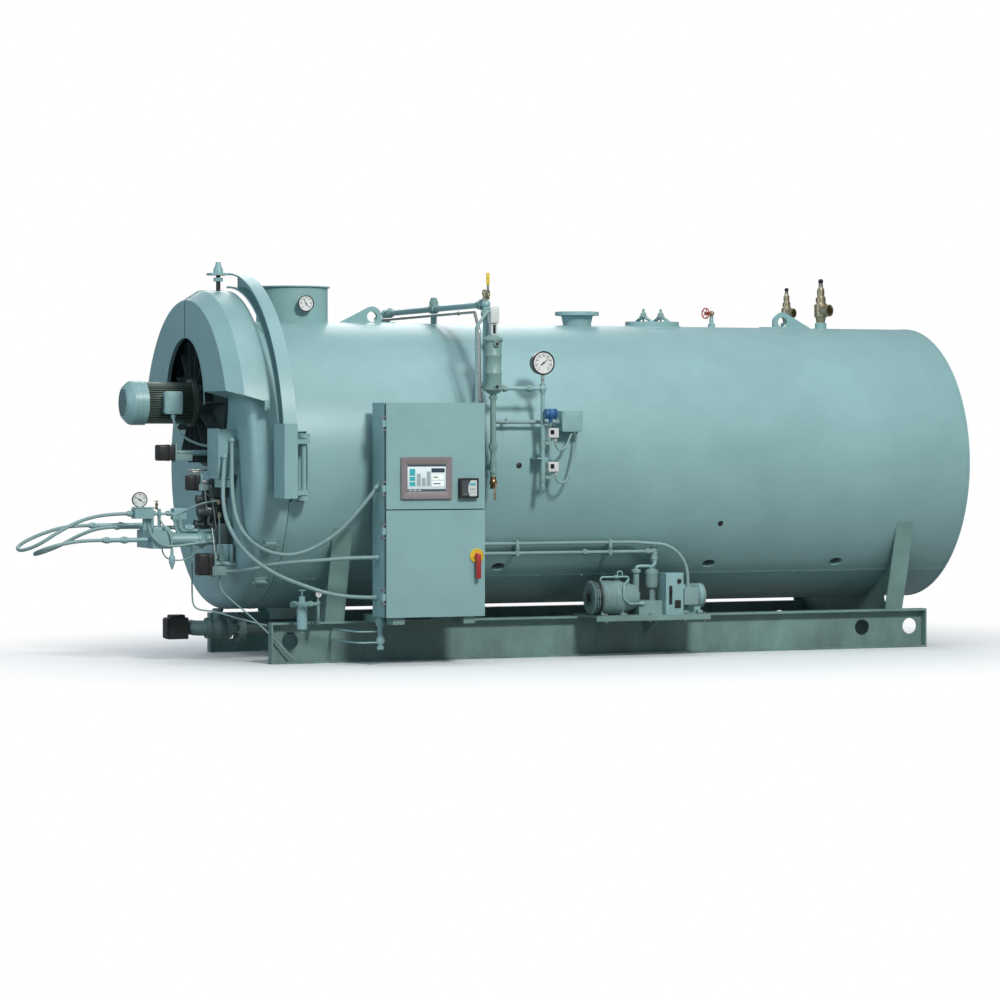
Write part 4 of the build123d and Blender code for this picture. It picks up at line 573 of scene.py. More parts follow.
newPiece("terminalBox", [
    roundBlock((boxX, boxY + 0.01, boxZ), (0.126, 0.09, 0.158), 0.008, 1, 0.014),
    roundBlock((boxX, lidY + 0.004, boxZ), (0.138, 0.016, 0.170), 0.005, 1, 0.016),
    roundBlock((boxX, lidY - 0.003, boxZ), (0.104, 0.006, 0.136), 0.0028, 1, 0.012), *screws,
    *coupling((boxX, -0.1905, boxZ - 0.079), downward, 0.014, 0.04)], "paint", "front_head")

# Cowl: dark joint of its two halves over the top, a rim round the intake and a foot bracket each side.
cowl = {"front": -3.141, "slope": -3.028, "rear": -2.83, "middle": 1.6, "face": 1.083, "radius": 1.157,
        "opening": 2.407}
joint = [(cowl["front"], 0, cowl["opening"] + 0.002), (cowl["front"], 0, cowl["middle"] + cowl["face"]),
         (cowl["slope"], 0, cowl["middle"] + cowl["radius"]),
         (cowl["rear"], 0, cowl["middle"] + cowl["radius"])]
newPiece("cowlJoint", [rigidPipe(joint, 0.0032, 0.01, 10)], "black_plastic", "front_head")
turn = np.radians(np.linspace(-2, 182, 60))
arc = np.stack([
    np.full(60, cowl["front"] - 0.001), 0.489 * np.cos(turn), motor["height"] + 0.489 * np.sin(turn)], -1)
newPiece("intakeRim", [tubeGrid(arc, 0.0045, 10)], "paint", "front_head")
feet = []
for hand in (-1, 1):
    feet += [roundBlock((-2.857, hand * 1.112, 1.894), (0.05, 0.012, 0.078), 0.003),
             *bolt((-2.857, hand * 1.117, 1.876), (0, hand, 0), 0.018, 0.012)]
newPiece("cowlFeet", feet, "paint", "front_head")
print("blower and cowl done")

# Water column on both sides: cast body with domed ends and bolted flanges, plugs, switch box on a neck.
column = {"x": -1.150, "y": 1.215, "low": 1.980, "boxLow": 2.502}
castGreen = enamel("castEnamel", (0.215, 0.36, 0.335), 0.42, 0.12, 0.12, peel=0.5)
paleCase = enamel("switchCase", (0.62, 0.66, 0.65), 0.4, 0.06, 0.08)
neck = {"height": 2.457, "size": (0.052, 0.05, 0.088), "slot": (0.022, 0.004, 0.066)}
for hand, label in ((-1, "near"), (1, "far")):
    foot = (column["x"], hand * column["y"], column["low"])
    cast = [(0, 0), (0, 0.034), (0.012, 0.050), (0.026, 0.060), (0.030, 0.074), (0.042, 0.074),
            (0.046, 0.063), (0.14, 0.061), (0.146, 0.065), (0.16, 0.065), (0.166, 0.061), (0.27, 0.061),
            (0.276, 0.065), (0.288, 0.065), (0.294, 0.061), (0.386, 0.063), (0.39, 0.074), (0.404, 0.074),
            (0.41, 0.060), (0.424, 0.048), (0.434, 0.030), (0.434, 0.019), (0.524, 0.019), (0.524, 0)]
    grids = [turned(cast, foot, upward, 40)]
    for z in (0.036, 0.397):
        for place in around((foot[0], foot[1], foot[2] + z - 0.0065), upward, toRear, 0.066, 6, offset=20):
            grids += bolt(place, downward, 0.013, 0.009)
            grids += bolt(place + (0, 0, 0.013), upward, 0.013, 0.012)
    for z in (0.052, 0.366):
        grids += coupling((foot[0], foot[1] + hand * 0.05, foot[2] + z), (0, hand, 0), 0.019, 0.03)
    newPiece("waterColumn." + label, grids, castGreen, stands=["water_columns"])
    newPiece("columnPlug." + label, [
        stub(0, 0.004, 0.012, (foot[0], foot[1] + hand * 0.079, foot[2] + z), (0, hand, 0), 18)
        for z in (0.052, 0.366)], "black_plastic")
    neckMiddle = np.array([foot[0], foot[1], neck["height"]])
    newPiece("switchNeck." + label, [roundBlock(neckMiddle, neck["size"], 0.004, 1, 0.006)], paleCase)
    # The neck's slot is a thin black block: painted shade of the opening.
    newPiece("neckSlotShade." + label, [roundBlock(neckMiddle + (0, hand * 0.0245, 0), neck["slot"], 0.001)],
             "black_plastic")
    boxMiddle = np.array([foot[0], foot[1], column["boxLow"] + 0.059])
    lids = [button(0.004, 0.003, 0.003, p, (0, hand, 0), 10)
            for p in corners(boxMiddle + (0, hand * 0.037, 0), 0.024, 0.05)]
    newPiece("switchBox." + label, [
        roundBlock(boxMiddle, (0.064, 0.066, 0.116), 0.005),
        roundBlock(boxMiddle + (0, hand * 0.034, 0), (0.068, 0.008, 0.120), 0.003, 1, 0.006),
        *lids], paleCase)

# Cross pipe: unions and tees over the CAD pipe, and the thin conduits that turn down to the cabinet.
cross = {"x": -1.150, "height": 2.645, "riser": 1.075}
grids = []
for hand in (-1, 1):
    grids += coupling((cross["x"], hand * 0.93, cross["height"]), (0, hand, 0), 0.033, 0.09)
    grids += coupling((cross["x"], hand * cross["riser"], cross["height"] - 0.035), downward, 0.031, 0.07)
    grids += coupling((cross["x"], hand * cross["riser"], 2.36), downward, 0.029, 0.06)
    grids += [
        stub(-0.05, 0.05, 0.034, (cross["x"], 0, cross["height"]), toFar, 24),
        turned([(0, 0), (0, 0.034), (0.03, 0.034), (0.03, 0.026), (0.05, 0.026), (0.058, 0.018),
                (0.06, 0)], (cross["x"], 0, cross["height"] + 0.03), upward, 24)]
newPiece("crossFittings", grids, castGreen)
thinRadius = 0.0115
thin = [
    rigidPipe([(-1.228, 1.02, 2.12), (-1.228, 1.02, 2.588), (-1.235, -1.06, 2.588), (-1.262, -1.215, 2.45),
               (-1.262, -1.235, 1.88)], thinRadius, 0.07),
    rigidPipe([(-1.228, 1.02, 2.12), (-1.228, 1.1, 2.04), (-1.21, 1.135, 2.005),
               (-1.15, 1.175, 2.0)], thinRadius, 0.03),
    roundBlock((-1.2655, -1.235, 1.86), (0.05, 0.045, 0.09), 0.006)]
thin += coupling((-1.262, -1.235, 1.935), downward, 0.015, 0.025)
thin += coupling((-1.236, -0.75, 2.588), toFar, 0.014, 0.03)
newPiece("columnConduit", thin, "plain_steel")
feed = [
    rigidPipe([(-1.302, -1.265, 1.92), (-1.302, -1.265, 2.47), (-1.215, -1.25, 2.575),
               (-1.178, -1.238, 2.59)], thinRadius, 0.05)]
feed += coupling((-1.302, -1.265, 1.935), downward, 0.015, 0.025)
newPiece("switchConduit", feed, "conduit_cover")

# Valve levers: steel strap with a dipped sleeve at the top, and a bare brass one at the drain.
for label, node, hub, rise, length in (
    ("topLever", "top_valve_lever", (-1.150, -1.112, 2.712), 1, 0.165),
    ("drainLever", "drain_lever", (-1.150, -1.252, 1.314), -1, 0.120)):
    hub = np.array(hub)
    strap = roundBlock(hub + (0, 0, rise * length * 0.48), (0.018, 0.005, length * 0.98), 0.002)
    steel = "plain_steel" if rise > 0 else "brass"
    newPiece(label + "Strap", [
        strap, *bolt(hub + (0, -0.002, 0), toNear, 0.018, 0.012),
        stub(-0.004, 0.004, 0.013, hub, toFar, 24)], steel, node, stands=[node])
    if rise > 0:
        sleeve = roundBlock(hub + (0, 0, length * 0.72), (0.025, 0.011, length * 0.56), 0.005, 2, 0.0053)
        newPiece(label + "Sleeve", [sleeve], "yellow", node)
stem = [(0, 0), (0, 0.022), (0.012, 0.024), (0.02, 0.019), (0.03, 0.013), (0.05, 0.011), (0.052, 0)]
ball = [(0, 0), (0, 0.026), (0.02, 0.026), (0.024, 0.022), (0.034, 0.028), (0.052, 0.030), (0.066, 0.028),
        (0.074, 0.021), (0.078, 0)]
newPiece("topValveBody", [
    turned(ball, (-1.15, -1.075, 2.679), upward, 32),
    turned(stem, (-1.15, -1.083, 2.712), toNear, 24)], "brass", stands=["top_valve"])

# Drain leg: painted pipe with union and tee, and a brass ball valve at its foot with an open outlet.
legX, legY = -1.150, -1.215
grids = [rigidPipe([(legX, legY, 1.99), (legX, legY, 1.37)], 0.0215),
         rigidPipe([(legX, legY, 1.443), (legX, -1.055, 1.443)], 0.0175)]
grids += coupling((legX, legY, 1.63), downward, 0.027, 0.075)
grids += coupling((legX, legY, 1.975), downward, 0.026, 0.04)
grids += [
    turned([(-0.045, 0), (-0.045, 0.028), (-0.03, 0.029), (-0.027, 0.0255), (0.027, 0.0255), (0.03, 0.029),
            (0.045, 0.028), (0.045, 0)], (legX, legY, 1.443), upward, 28),
    turned([(0, 0), (0, 0.0255), (0.03, 0.0255), (0.033, 0.029), (0.047, 0.028),
            (0.047, 0)], (legX, legY, 1.443), toFar, 28)]
newPiece("drainLeg", grids, castGreen, stands=["drain_leg"])
brassBody = [(0, 0), (0, 0.012), (-0.002, 0.022), (0.018, 0.023), (0.02, 0.020), (0.03, 0.026),
             (0.048, 0.028), (0.062, 0.026), (0.07, 0.02), (0.072, 0.023), (0.09, 0.023), (0.09, 0)]
drainStem = stem[:-1] + [(0.048, 0.006), (0.05, 0)]
copper = metalFinish("copperBrass", (0.5, 0.3, 0.17), 0.35, (0.25, 0.15, 0.09))
newPiece("drainValve", [
    turned(brassBody, (legX, legY, 1.283), upward, 30),
    turned(drainStem, (legX, legY - 0.008, 1.314), toNear, 20)], copper)
print("column and valves done")


# Dial face: white card with a ring of ticks; angle and radius come from the face's own Object coordinates.
def dialFinish(name, centre, radius, ticks, card=(0.78, 0.79, 0.77)):
    finish, shader, place = newFinish(name, card, 0.35)
    shader.inputs["Coat Weight"].default_value = 0.6
    shader.inputs["Coat Roughness"].default_value = 0.05
    across = place.make("ShaderNodeSeparateXYZ", sockets={0: place}, out=0) - centre[0]
    up = place.make("ShaderNodeSeparateXYZ", sockets={0: place}, out=2) - centre[2]
    reach = ((across * across + up * up) ** 0.5) / radius
    angle = across.maths("ARCTAN2", across, up) / (2 * np.pi)
    marks = []
    for count, share, inner, outer in ((ticks, 0.13, 0.77, 0.86), (ticks / 5, 0.055, 0.68, 0.88)):
        comb = (angle * count).maths("FRACT", angle * count + 0.5)
        mark = comb.maths("LESS_THAN", comb.maths("ABSOLUTE", comb - 0.5), share)
        marks.append(mark * between(reach, inner, inner + 0.01) * (1 - between(reach, outer, outer + 0.01)))
    lower = up.maths("LESS_THAN", up, -0.72 * radius)
    ink = lower.maths("MAXIMUM", *marks) * (1 - lower)
    aged = between(noise(place, 60.0, 4.0), 0.35, 0.75) * 0.12
    link(shader, "Base Color", mixColour(
        ink, mixColour(aged, card, (0.55, 0.52, 0.44)), (0.01, 0.01, 0.012)))
    return finish


# Numbers on a dial as flat letters, each turned out to its place round the face and laid on the card.
def dialNumbers(name, values, centre, radius, size, body):
    verts, faces, count = [], [], 0
    for k, value in enumerate(values):
        text = bpy.data.curves.new(name, "FONT")
        text.body, text.size, text.align_x, text.align_y = str(value), size, "CENTER", "CENTER"
        holder = bpy.data.objects.new(name, text)
        flat = bpy.data.meshes.new_from_object(holder)
        points = np.empty(len(flat.vertices) * 3)
        flat.vertices.foreach_get("co", points)
        angle = np.radians(-135 + 270 * k / (len(values) - 1))
        points = points.reshape(-1, 3)
        verts.append(
            np.stack([centre[0] + radius * np.sin(angle) + points[:, 0], centre[1] + 0 * points[:, 0],
                      centre[2] + radius * np.cos(angle) + points[:, 1]], -1))
        faces += [[v + count for v in face.vertices] for face in flat.polygons]
        count += len(points)
        bpy.data.objects.remove(holder)
    mesh = bpy.data.meshes.new(name)
    mesh.from_pydata(np.concatenate(verts).tolist(), [], faces)
    mesh.materials.append(finishes["dial_case"])
    piece = bpy.data.objects.new(name, mesh)
    bpy.context.collection.objects.link(piece)
    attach(piece, body)


# Round dial facing the near side: case, bezel, card and needle.
def dial(name, centre, radius, depth, ticks, needle, body, stands=(), numbers=None):
    x, y, z = centre
    front = y - depth / 2
    sunk = min(depth * 0.14, 0.007)
    case = [(0, 0), (0, radius * 0.8), (depth * 0.12, radius * 0.93), (depth * 0.6, radius * 0.95),
            (depth * 0.72, radius), (depth * 0.95, radius), (depth, radius * 0.96), (depth, radius * 0.9),
            (depth - sunk * 0.7, radius * 0.875), (depth - sunk, radius * 0.875), (depth - sunk, 0)]
    newPiece(name + "Case", [turned(case, (x, y + depth / 2, z), toNear, 56)], "dial_case", body,
             stands=stands)
    face = front + sunk
    newPiece(name + "Card", [stub(0, 0.0012, radius * 0.872, (x, face, z), toNear, 56)],
             dialFinish(name + "Face", (x, face, z), radius * 0.87, ticks), body)
    way = np.array([np.sin(np.radians(needle)), np.cos(np.radians(needle))])
    aside = np.array([way[1], -way[0]])
    shape = np.array(
        [way * radius * 0.72, aside * radius * 0.045, -way * radius * 0.34 + aside * radius * 0.05,
         -way * radius * 0.34 - aside * radius * 0.05, -aside * radius * 0.045]) + (x, z)
    newPiece(name + "Needle", [
        plate(shape, 1, face - 0.004, face - 0.0028),
        button(radius * 0.09, radius * 0.08, 0.005, (x, face - 0.001, z), toNear, 20)], "dial_case", body)
    if numbers:
        dialNumbers(name + "Numbers", numbers, (x, face - 0.0018, z), radius * 0.56, radius * 0.17, body)


manifold = {"x": -0.754, "y": -1.215, "top": 2.022, "foot": 1.30, "tees": (1.613, 1.361),
            "cases": (1.693, 1.441), "caseX": -0.676}
pipeX, pipeY, controlX = manifold["x"], manifold["y"], manifold["caseX"]
dial("steamGauge", (pipeX, -1.195, 2.211), 0.089, 0.088, 50, 50, "boiler", ["dial_gauges"],
     [0, 40, 80, 120, 160, 200, 240, 280, 300])
dial("flueThermometer", (-2.298, -0.3165, 2.660), 0.062, 0.030, 40, -30, "boiler", (),
     [50, 100, 200, 300, 400, 500])
dial("oilGauge", (-3.640, -0.500, 1.207), 0.058, 0.030, 30, -60, "front_head", ["burner_gauge"],
     [0, 50, 100, 150, 200])
newPiece("gaugeStems", [stub(0, 0.055, 0.009, (-2.298, -0.302, 2.660), toFar, 18)], "brass")
gaugeNut = [(0, 0), (0, 0.013), (0.014, 0.013), (0.016, 0.008), (0.03, 0.008), (0.03, 0)]
newPiece("oilGaugeStem", [turned(gaugeNut, (-3.64, -0.5, 1.142), upward, 6)], "brass", "front_head")
siphon = [(0, 0), (0, 0.015), (0.016, 0.015), (0.018, 0.0095), (0.05, 0.0095), (0.053, 0.0125),
          (0.068, 0.0125), (0.07, 0.009), (0.086, 0.009), (0.086, 0.014), (0.1, 0.013), (0.101, 0)]
newPiece("gaugeSiphon", [turned(siphon, (pipeX, pipeY, 2.024), upward, 8)], "brass")

# Instrument manifold: couplings, tees and a cap on the CAD pipe.
grids = coupling((-0.89, pipeY, manifold["top"]), toRear, 0.021, 0.05)
grids += coupling((-1.085, pipeY, manifold["top"]), toRear, 0.022, 0.045)
grids += [stub(-0.035, 0.035, 0.022, (pipeX, pipeY, manifold["top"]), upward, 24)]
for z in manifold["tees"]:
    grids += coupling((-0.735, pipeY, z), toRear, 0.016, 0.03)
    grids += [stub(-0.03, 0.03, 0.021, (pipeX, pipeY, z), upward, 24)]
    grids += coupling((controlX, pipeY, z + 0.026), upward, 0.012, 0.022)
endCap = [(0, 0), (0, 0.02), (0.03, 0.02), (0.034, 0.012), (0.034, 0)]
grids += [turned(endCap, (pipeX, pipeY, manifold["foot"]), downward, 6)]
newPiece("manifoldFittings", grids, castGreen)

# Pressure controls: white cases with a dark window, a seam and a cable gland.
window = moulded("darkWindow", (0.01, 0.011, 0.013), 0.15)
cases, windows = [], []
for z in manifold["cases"]:
    cases += [roundBlock((controlX, -1.209, z), (0.085, 0.052, 0.074), 0.006, 1, 0.007),
              roundBlock((controlX, -1.238, z), (0.082, 0.012, 0.071), 0.004, 1, 0.007)]
    cases += [button(0.0035, 0.003, 0.002, (controlX + dx, -1.243, z - 0.026), toNear, 10)
              for dx in (-0.03, 0.03)]
    cases += coupling((-0.652, pipeY, z - 0.036), downward, 0.011, 0.024)
    windows += [roundBlock((-0.688, -1.244, z + 0.006), (0.03, 0.004, 0.034), 0.0015, 1, 0.003)]
newPiece("pressureControls", cases, "white_plastic", stands=["pressure_controls"])
newPiece("controlWindows", windows, window)

# Transmitter: two blue chambers with ribbed caps on a neck over the manifold.
head = np.array([-0.715, -1.275, 1.834])
chambers = [(0, 0), (0, 0.033), (0.004, 0.036), (0.018, 0.036), (0.02, 0.031), (0.03, 0.04), (0.062, 0.04),
            (0.072, 0.031), (0.074, 0.036), (0.088, 0.036), (0.092, 0.033), (0.092, 0)]
grids = [turned(chambers, head - (0.046, 0, 0), toRear, 40)]
for cap in (-0.037, 0.037):
    places = around(head + (cap, 0, 0), toRear, toFar, 0.036, 14)
    grids += [roundBlock(p, (0.016, 0.006, 0.006), 0.002) for p in places]
grids += [stub(0, 0.05, 0.016, head - (0, 0, 0.062), upward, 24)]
newPiece("transmitterHead", grids, "blue_paint", stands=["pressure_transmitter"])
newPiece("transmitterTie",
         [rigidPipe([head - (0, 0, 0.055), head - (0, 0, 0.085), (pipeX, pipeY, 1.749)], 0.009, 0.015)],
         castGreen)

# Junction box on the side: lid with a turned edge, corner screws and its conduits.
low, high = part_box("side_junction_box")
middle, size = (np.array(low) + high) / 2, np.array(high) - low
grids = [roundBlock(
    (middle[0], low[1] - 0.004, middle[2]), (size[0] + 0.012, 0.014, size[2] + 0.012), 0.004, 1, 0.008)]
grids += [button(0.005, 0.004, 0.003, p, toNear, 12)
          for p in corners((middle[0], low[1] - 0.011, middle[2]), 0.066, 0.064)]
newPiece("sideBoxLid", grids, "paint")
runY = -1.115
grids = [rigidPipe([(-1.09, runY, 1.775), (low[0] + 0.01, runY, 1.775)], 0.0145)]
for x in (-1.009, -0.598):
    grids += [stub(-0.011, 0.011, 0.019, (x, runY, 1.775), toRear, 20),
              roundBlock((x, runY + 0.03, 1.775), (0.022, 0.06, 0.014), 0.003),
              *bolt((x, runY - 0.012, 1.797), toNear, 0.012, 0.008)]
grids += coupling((low[0] - 0.02, runY, 1.775), toRear, 0.018, 0.026)
newPiece("sideConduit", grids, "conduit_cover")
print("gauges and controls done")

# Head junction box: lid on its front, screws, and a small box with a ledge under it.
lidX = -3.093
grids = [roundBlock((lidX - 0.003, -0.5675, 1.5545), (0.012, 0.275, 0.345), 0.004, 0, 0.008)]
grids += [button(0.006, 0.005, 0.004, (lidX - 0.009, y, z), toFront, 12) for y in (-0.685, -0.45)
          for z in (1.402, 1.555, 1.707)]
for place in ((-3.005, -0.7, 1.640), (-3.060, -0.7, 1.520)):
    grids += coupling(np.array(place) + (0, 0.004, 0), (0, -1, -0.25), 0.021, 0.03)
grids += [roundBlock((-3.045, -0.63, 1.372), (0.125, 0.13, 0.03), 0.003),
          roundBlock((-3.045, -0.63, 1.338), (0.1, 0.105, 0.085), 0.004, 2, 0.006)]
newPiece("headBoxLid", grids, "paint", "front_head")

# Burner drives: black cases with a lid seam, green brackets to the head, hubs and crank arms.
drives = {
    "upper": {"middle": (-3.400, -0.345, 1.548), "size": (0.130, 0.100, 0.118),
              "hub": (-3.29, -0.345, 1.548)},
    "middle": {"middle": (-3.230, -0.480, 1.328), "size": (0.095, 0.090, 0.112),
               "hub": (-3.15, -0.480, 1.328)},
    "lower": {"middle": (-3.190, -0.640, 0.735), "size": (0.120, 0.110, 0.158),
              "hub": (-3.10, -0.640, 0.735)},
}
shaft = [(0, 0), (0, 0.026), (0.03, 0.026), (0.034, 0.019), (0.06, 0.019), (0.06, 0)]
cases, brackets, bright = [], [], []
for values in drives.values():
    middle, size, hub = [np.array(values[key]) for key in ("middle", "size", "hub")]
    cases += [roundBlock(middle - (size[0] * 0.16, 0, 0), size * (0.68, 1, 1), 0.012, 0, 0.016),
              roundBlock(middle + (size[0] * 0.3, 0, 0), size * (0.4, 0.94, 0.94), 0.004, 0, 0.012)]
    cases += [roundBlock(
        middle + (size[0] * 0.17, 0, 0), (0.006, size[1] * 1.04, size[2] * 1.03), 0.002, 0, 0.014)]
    foot = middle[0] + size[0] / 2
    brackets += [roundBlock(
        (foot + 0.006, middle[1], middle[2]), (0.012, size[1] * 1.2, size[2] * 1.15), 0.002, 0, 0.01)]
    brackets += [
        roundBlock((hub[0] + 0.02, middle[1] + dy, middle[2] - size[2] * 0.3),
                   (0.13, 0.008, size[2] * 0.42), 0.002) for dy in (-size[1] * 0.5, size[1] * 0.5)]
    brackets += [turned(shaft, (foot + 0.01, middle[1], middle[2]), toRear, 24)]
    seats = [(foot + 0.012, middle[1] + size[1] * dy, middle[2] + size[2] * 0.42) for dy in (-0.44, 0.44)]
    bright += bolts(seats, toRear, 0.014, 0.01)
newPiece("driveCases", cases, "black_plastic", "front_head", stands=["burner_actuators"])
# Very dark teal for the burner castings: their own darker cast paint with the shade under the cowl painted
# in.
castAndShadeTeal = enamel("burnerCastShadeEnamel", (0.05, 0.075, 0.072), 0.5, 0.2, 0.15, peel=0.6)

# Burner front: round gun flange with studs, swirl body, fuel valve castings and dark housings on the plate,
# their darkness partly painted shade.
gun = (-2.979, -0.33, 1.12)
flange = [(0, 0), (0, 0.155), (0.016, 0.155), (0.02, 0.148), (0.022, 0.118), (0.05, 0.112), (0.06, 0.096),
          (0.12, 0.092), (0.126, 0.1), (0.14, 0.1), (0.146, 0.082), (0.165, 0.05), (0.168, 0)]
castings = [turned(flange, gun, toFront, 56)]
castings += bolts(around((gun[0] - 0.016, gun[1], gun[2]), toFront, toFar, 0.135, 10), toFront, 0.02, 0.014)
valveBody = [(0, 0), (0, 0.034), (0.014, 0.034), (0.018, 0.024), (0.04, 0.03), (0.07, 0.034), (0.1, 0.03),
             (0.122, 0.024), (0.126, 0.034), (0.14, 0.034), (0.14, 0)]
bonnet = [(0, 0), (0, 0.022), (0.03, 0.02), (0.034, 0.028), (0.046, 0.028), (0.05, 0)]
for y, z in ((-0.5, 1.115), (-0.47, 1.205), (-0.42, 1.02)):
    castings += [turned(valveBody, (-3.2, y, z), toRear, 28),
                 turned(bonnet, (-3.13, y, z + 0.02), (0, -0.25, 1), 20)]
castings += [roundBlock((-3.05, -0.52, 1.26), (0.14, 0.11, 0.075), 0.008),
             roundBlock((-3.02, -0.56, 0.95), (0.11, 0.06, 0.16), 0.008),
             roundBlock((-3.06, -0.5, 1.33), (0.09, 0.07, 0.06), 0.01),
             roundBlock((-3.015, -0.16, 1.12), (0.08, 0.09, 0.26), 0.01),
             roundBlock((-3.03, -0.33, 0.92), (0.11, 0.17, 0.06), 0.01)]
castings += [
    rigidPipe([(-3.0, -0.5, 1.25), (-3.09, -0.5, 1.19), (-3.12, -0.5, 1.03),
               (-3.06, -0.52, 0.99)], 0.012, 0.03),
    rigidPipe([(-3.13, -0.49, 1.3), (-3.13, -0.5, 1.23)], 0.009)]
newPiece("burnerCastings", castings, castAndShadeTeal, "front_head")
newPiece("driveBrackets", brackets, "motor_paint", "front_head")

# Linkage: rods with end eyes between the cranks, and the level rod under the upper drive.
rods = [rigidPipe([(-3.245, -0.46, 1.37), (-3.245, -0.42, 1.421), (-2.95, -0.42, 1.421)], 0.008, 0.02),
        rigidPipe([(-3.155, -0.53, 1.33), (-3.14, -0.54, 1.13)], 0.005),
        rigidPipe([(-3.11, -0.545, 1.3), (-3.07, -0.55, 0.98)], 0.005),
        rigidPipe([(-3.215, -0.46, 1.40), (-3.1, -0.53, 1.2)], 0.0045),
        rigidPipe([(-3.09, -0.6, 0.77), (-3.1, -0.54, 1.0)], 0.005)]
for centre in (
    (-3.155, -0.53, 1.33), (-3.14, -0.54, 1.13), (-3.11, -0.545, 1.3), (-3.07, -0.55, 0.98),
    (-3.1, -0.53, 1.2), (-3.215, -0.46, 1.40), (-3.09, -0.6, 0.77)):
    rods += [stub(-0.006, 0.006, 0.011, centre, toFar, 20)]
    rods += bolt(np.array(centre) - (0, 0.006, 0), toNear, 0.01, 0.008)
    rods += [roundBlock(np.array(centre) + (0.018, 0.008, 0.004), (0.055, 0.006, 0.02), 0.002)]
newPiece("burnerLinkage", [*rods, *bright], "plain_steel", "front_head")

# Fuel train: couplings at the hoses and pipes, tees and cross valves on the block, brass cock and fittings.
fittings = []
for place, axis, radius, length in (
    ((-3.685, -0.5, 1.107), toFront, 0.018, 0.05), ((-3.935, -0.2, 1.015), (1, 0, -0.05), 0.019, 0.06),
    ((-3.715, -0.265, 1.005), toFront, 0.018, 0.05), ((-3.915, -0.5, 0.915), toRear, 0.019, 0.06),
    ((-3.78, -0.5, 0.915), toRear, 0.021, 0.055), ((-3.72, -0.2, 1.015), toRear, 0.02, 0.05),
    ((-3.56, -0.5, 1.107), toRear, 0.016, 0.045), ((-3.44, -0.5, 1.107), toRear, 0.016, 0.04),
    ((-3.575, -0.5, 1.085), downward, 0.016, 0.045), ((-3.30, -0.5, 1.0), toRear, 0.021, 0.07),
    ((-3.2, -0.5, 0.915), toRear, 0.052, 0.06), ((-3.2, -0.2, 0.915), toRear, 0.052, 0.06)):
    fittings += coupling(place, axis, radius, length)
fittings += [rigidPipe([(-3.56, -0.5, 1.107), (-3.36, -0.5, 1.1)], 0.0095),
             rigidPipe([(-3.6, -0.5, 1.07), (-3.6, -0.5, 0.985)], 0.016),
             rigidPipe([(-3.49, -0.5, 1.1), (-3.49, -0.5, 0.98)], 0.0125),
             rigidPipe([(-3.56, -0.42, 1.0), (-3.0, -0.42, 1.0)], 0.015),
             rigidPipe([(-3.33, -0.5, 1.09), (-3.33, -0.5, 0.98), (-3.2, -0.5, 0.98)], 0.012, 0.03),
             roundBlock((-3.33, -0.46, 1.1), (0.10, 0.09, 0.085), 0.006),
             roundBlock((-3.48, -0.35, 0.99), (0.13, 0.36, 0.03), 0.006),
             roundBlock((-3.61, -0.5, 1.15), (0.15, 0.115, 0.008), 0.003, 2, 0.012)]
topStub = [(0, 0), (0, 0.02), (0.018, 0.02), (0.02, 0.013), (0.05, 0.013), (0.05, 0)]
fittings += [turned(topStub, (-3.49, -0.5, 1.09), upward, 20)]
fittings += bolts([(x, y, 0.98) for x in (-3.525, -3.435) for y in (-0.52, -0.18)], upward, 0.018, 0.014)
newPiece("fuelFittings", fittings, "paint", "front_head")
cock = [(0, 0), (0, 0.012), (0.012, 0.012), (0.014, 0.009), (0.03, 0.009), (0.032, 0.013), (0.045, 0.013),
        (0.047, 0.006), (0.06, 0.005), (0.061, 0)]
newPiece("brassFittings", [
    turned(cock, (-3.51, -0.5, 1.135), upward, 6),
    roundBlock((-3.51, -0.5, 1.197), (0.034, 0.008, 0.008), 0.003),
    *coupling((-3.066, -0.6, 1.205), downward, 0.011, 0.034),
    *coupling((-3.063, -0.6, 1.112), downward, 0.012, 0.04)], "brass", "front_head")
bulb = [(0, 0), (0, 0.011), (0.045, 0.012), (0.05, 0.017), (0.06, 0.0225), (0.10, 0.0225), (0.125, 0.014),
        (0.15, 0.004), (0.152, 0)]
newPiece("dripBulb", [turned(bulb, (-3.417, -0.578, 0.848), downward, 28)], "paint", "front_head")
newPiece("lowerPlate", [
    roundBlock((-3.03, -0.6, 0.81), (0.10, 0.012, 0.14), 0.003),
    roundBlock((-2.985, -0.6, 0.81), (0.012, 0.13, 0.14), 0.003),
    rigidPipe([(-3.1, -0.62, 0.745), (-2.97, -0.62, 0.745)], 0.012)], "paint", "front_head")

# Head clamps: blocks on the head's rim with a through bolt, at the same turns on both sides.
clamp = {"x": -2.782, "radius": 1.097, "turns": (31.6, 51.4, 128.6, 148.4), "size": (0.082, 0.06, 0.044)}
grids = []
for turnDown in np.radians(clamp["turns"]):
    out = np.array([0, -np.cos(turnDown), -np.sin(turnDown)])
    centre = np.array([clamp["x"], 0, shell["height"]]) + clamp["radius"] * out
    aside = np.cross(toRear, out)
    block = roundBlock((0, 0, 0), clamp["size"], 0.006)
    foot = roundBlock((0, 0, -0.016), (0.1, 0.085, 0.014), 0.004)
    grids += [
        centre + np.stack([
            g[..., 0], g[..., 1] * aside[1] + g[..., 2] * out[1],
            g[..., 1] * aside[2] + g[..., 2] * out[2]], -1) for g in (block, foot)]
    grids += bolt(centre - (clamp["size"][0] / 2, 0, 0), toFront, 0.024, 0.016)
    grids += bolt(centre + (clamp["size"][0] / 2, 0, 0), toRear, 0.024, 0.016)
newPiece("headClamps", grids, "motor_paint", "front_head")

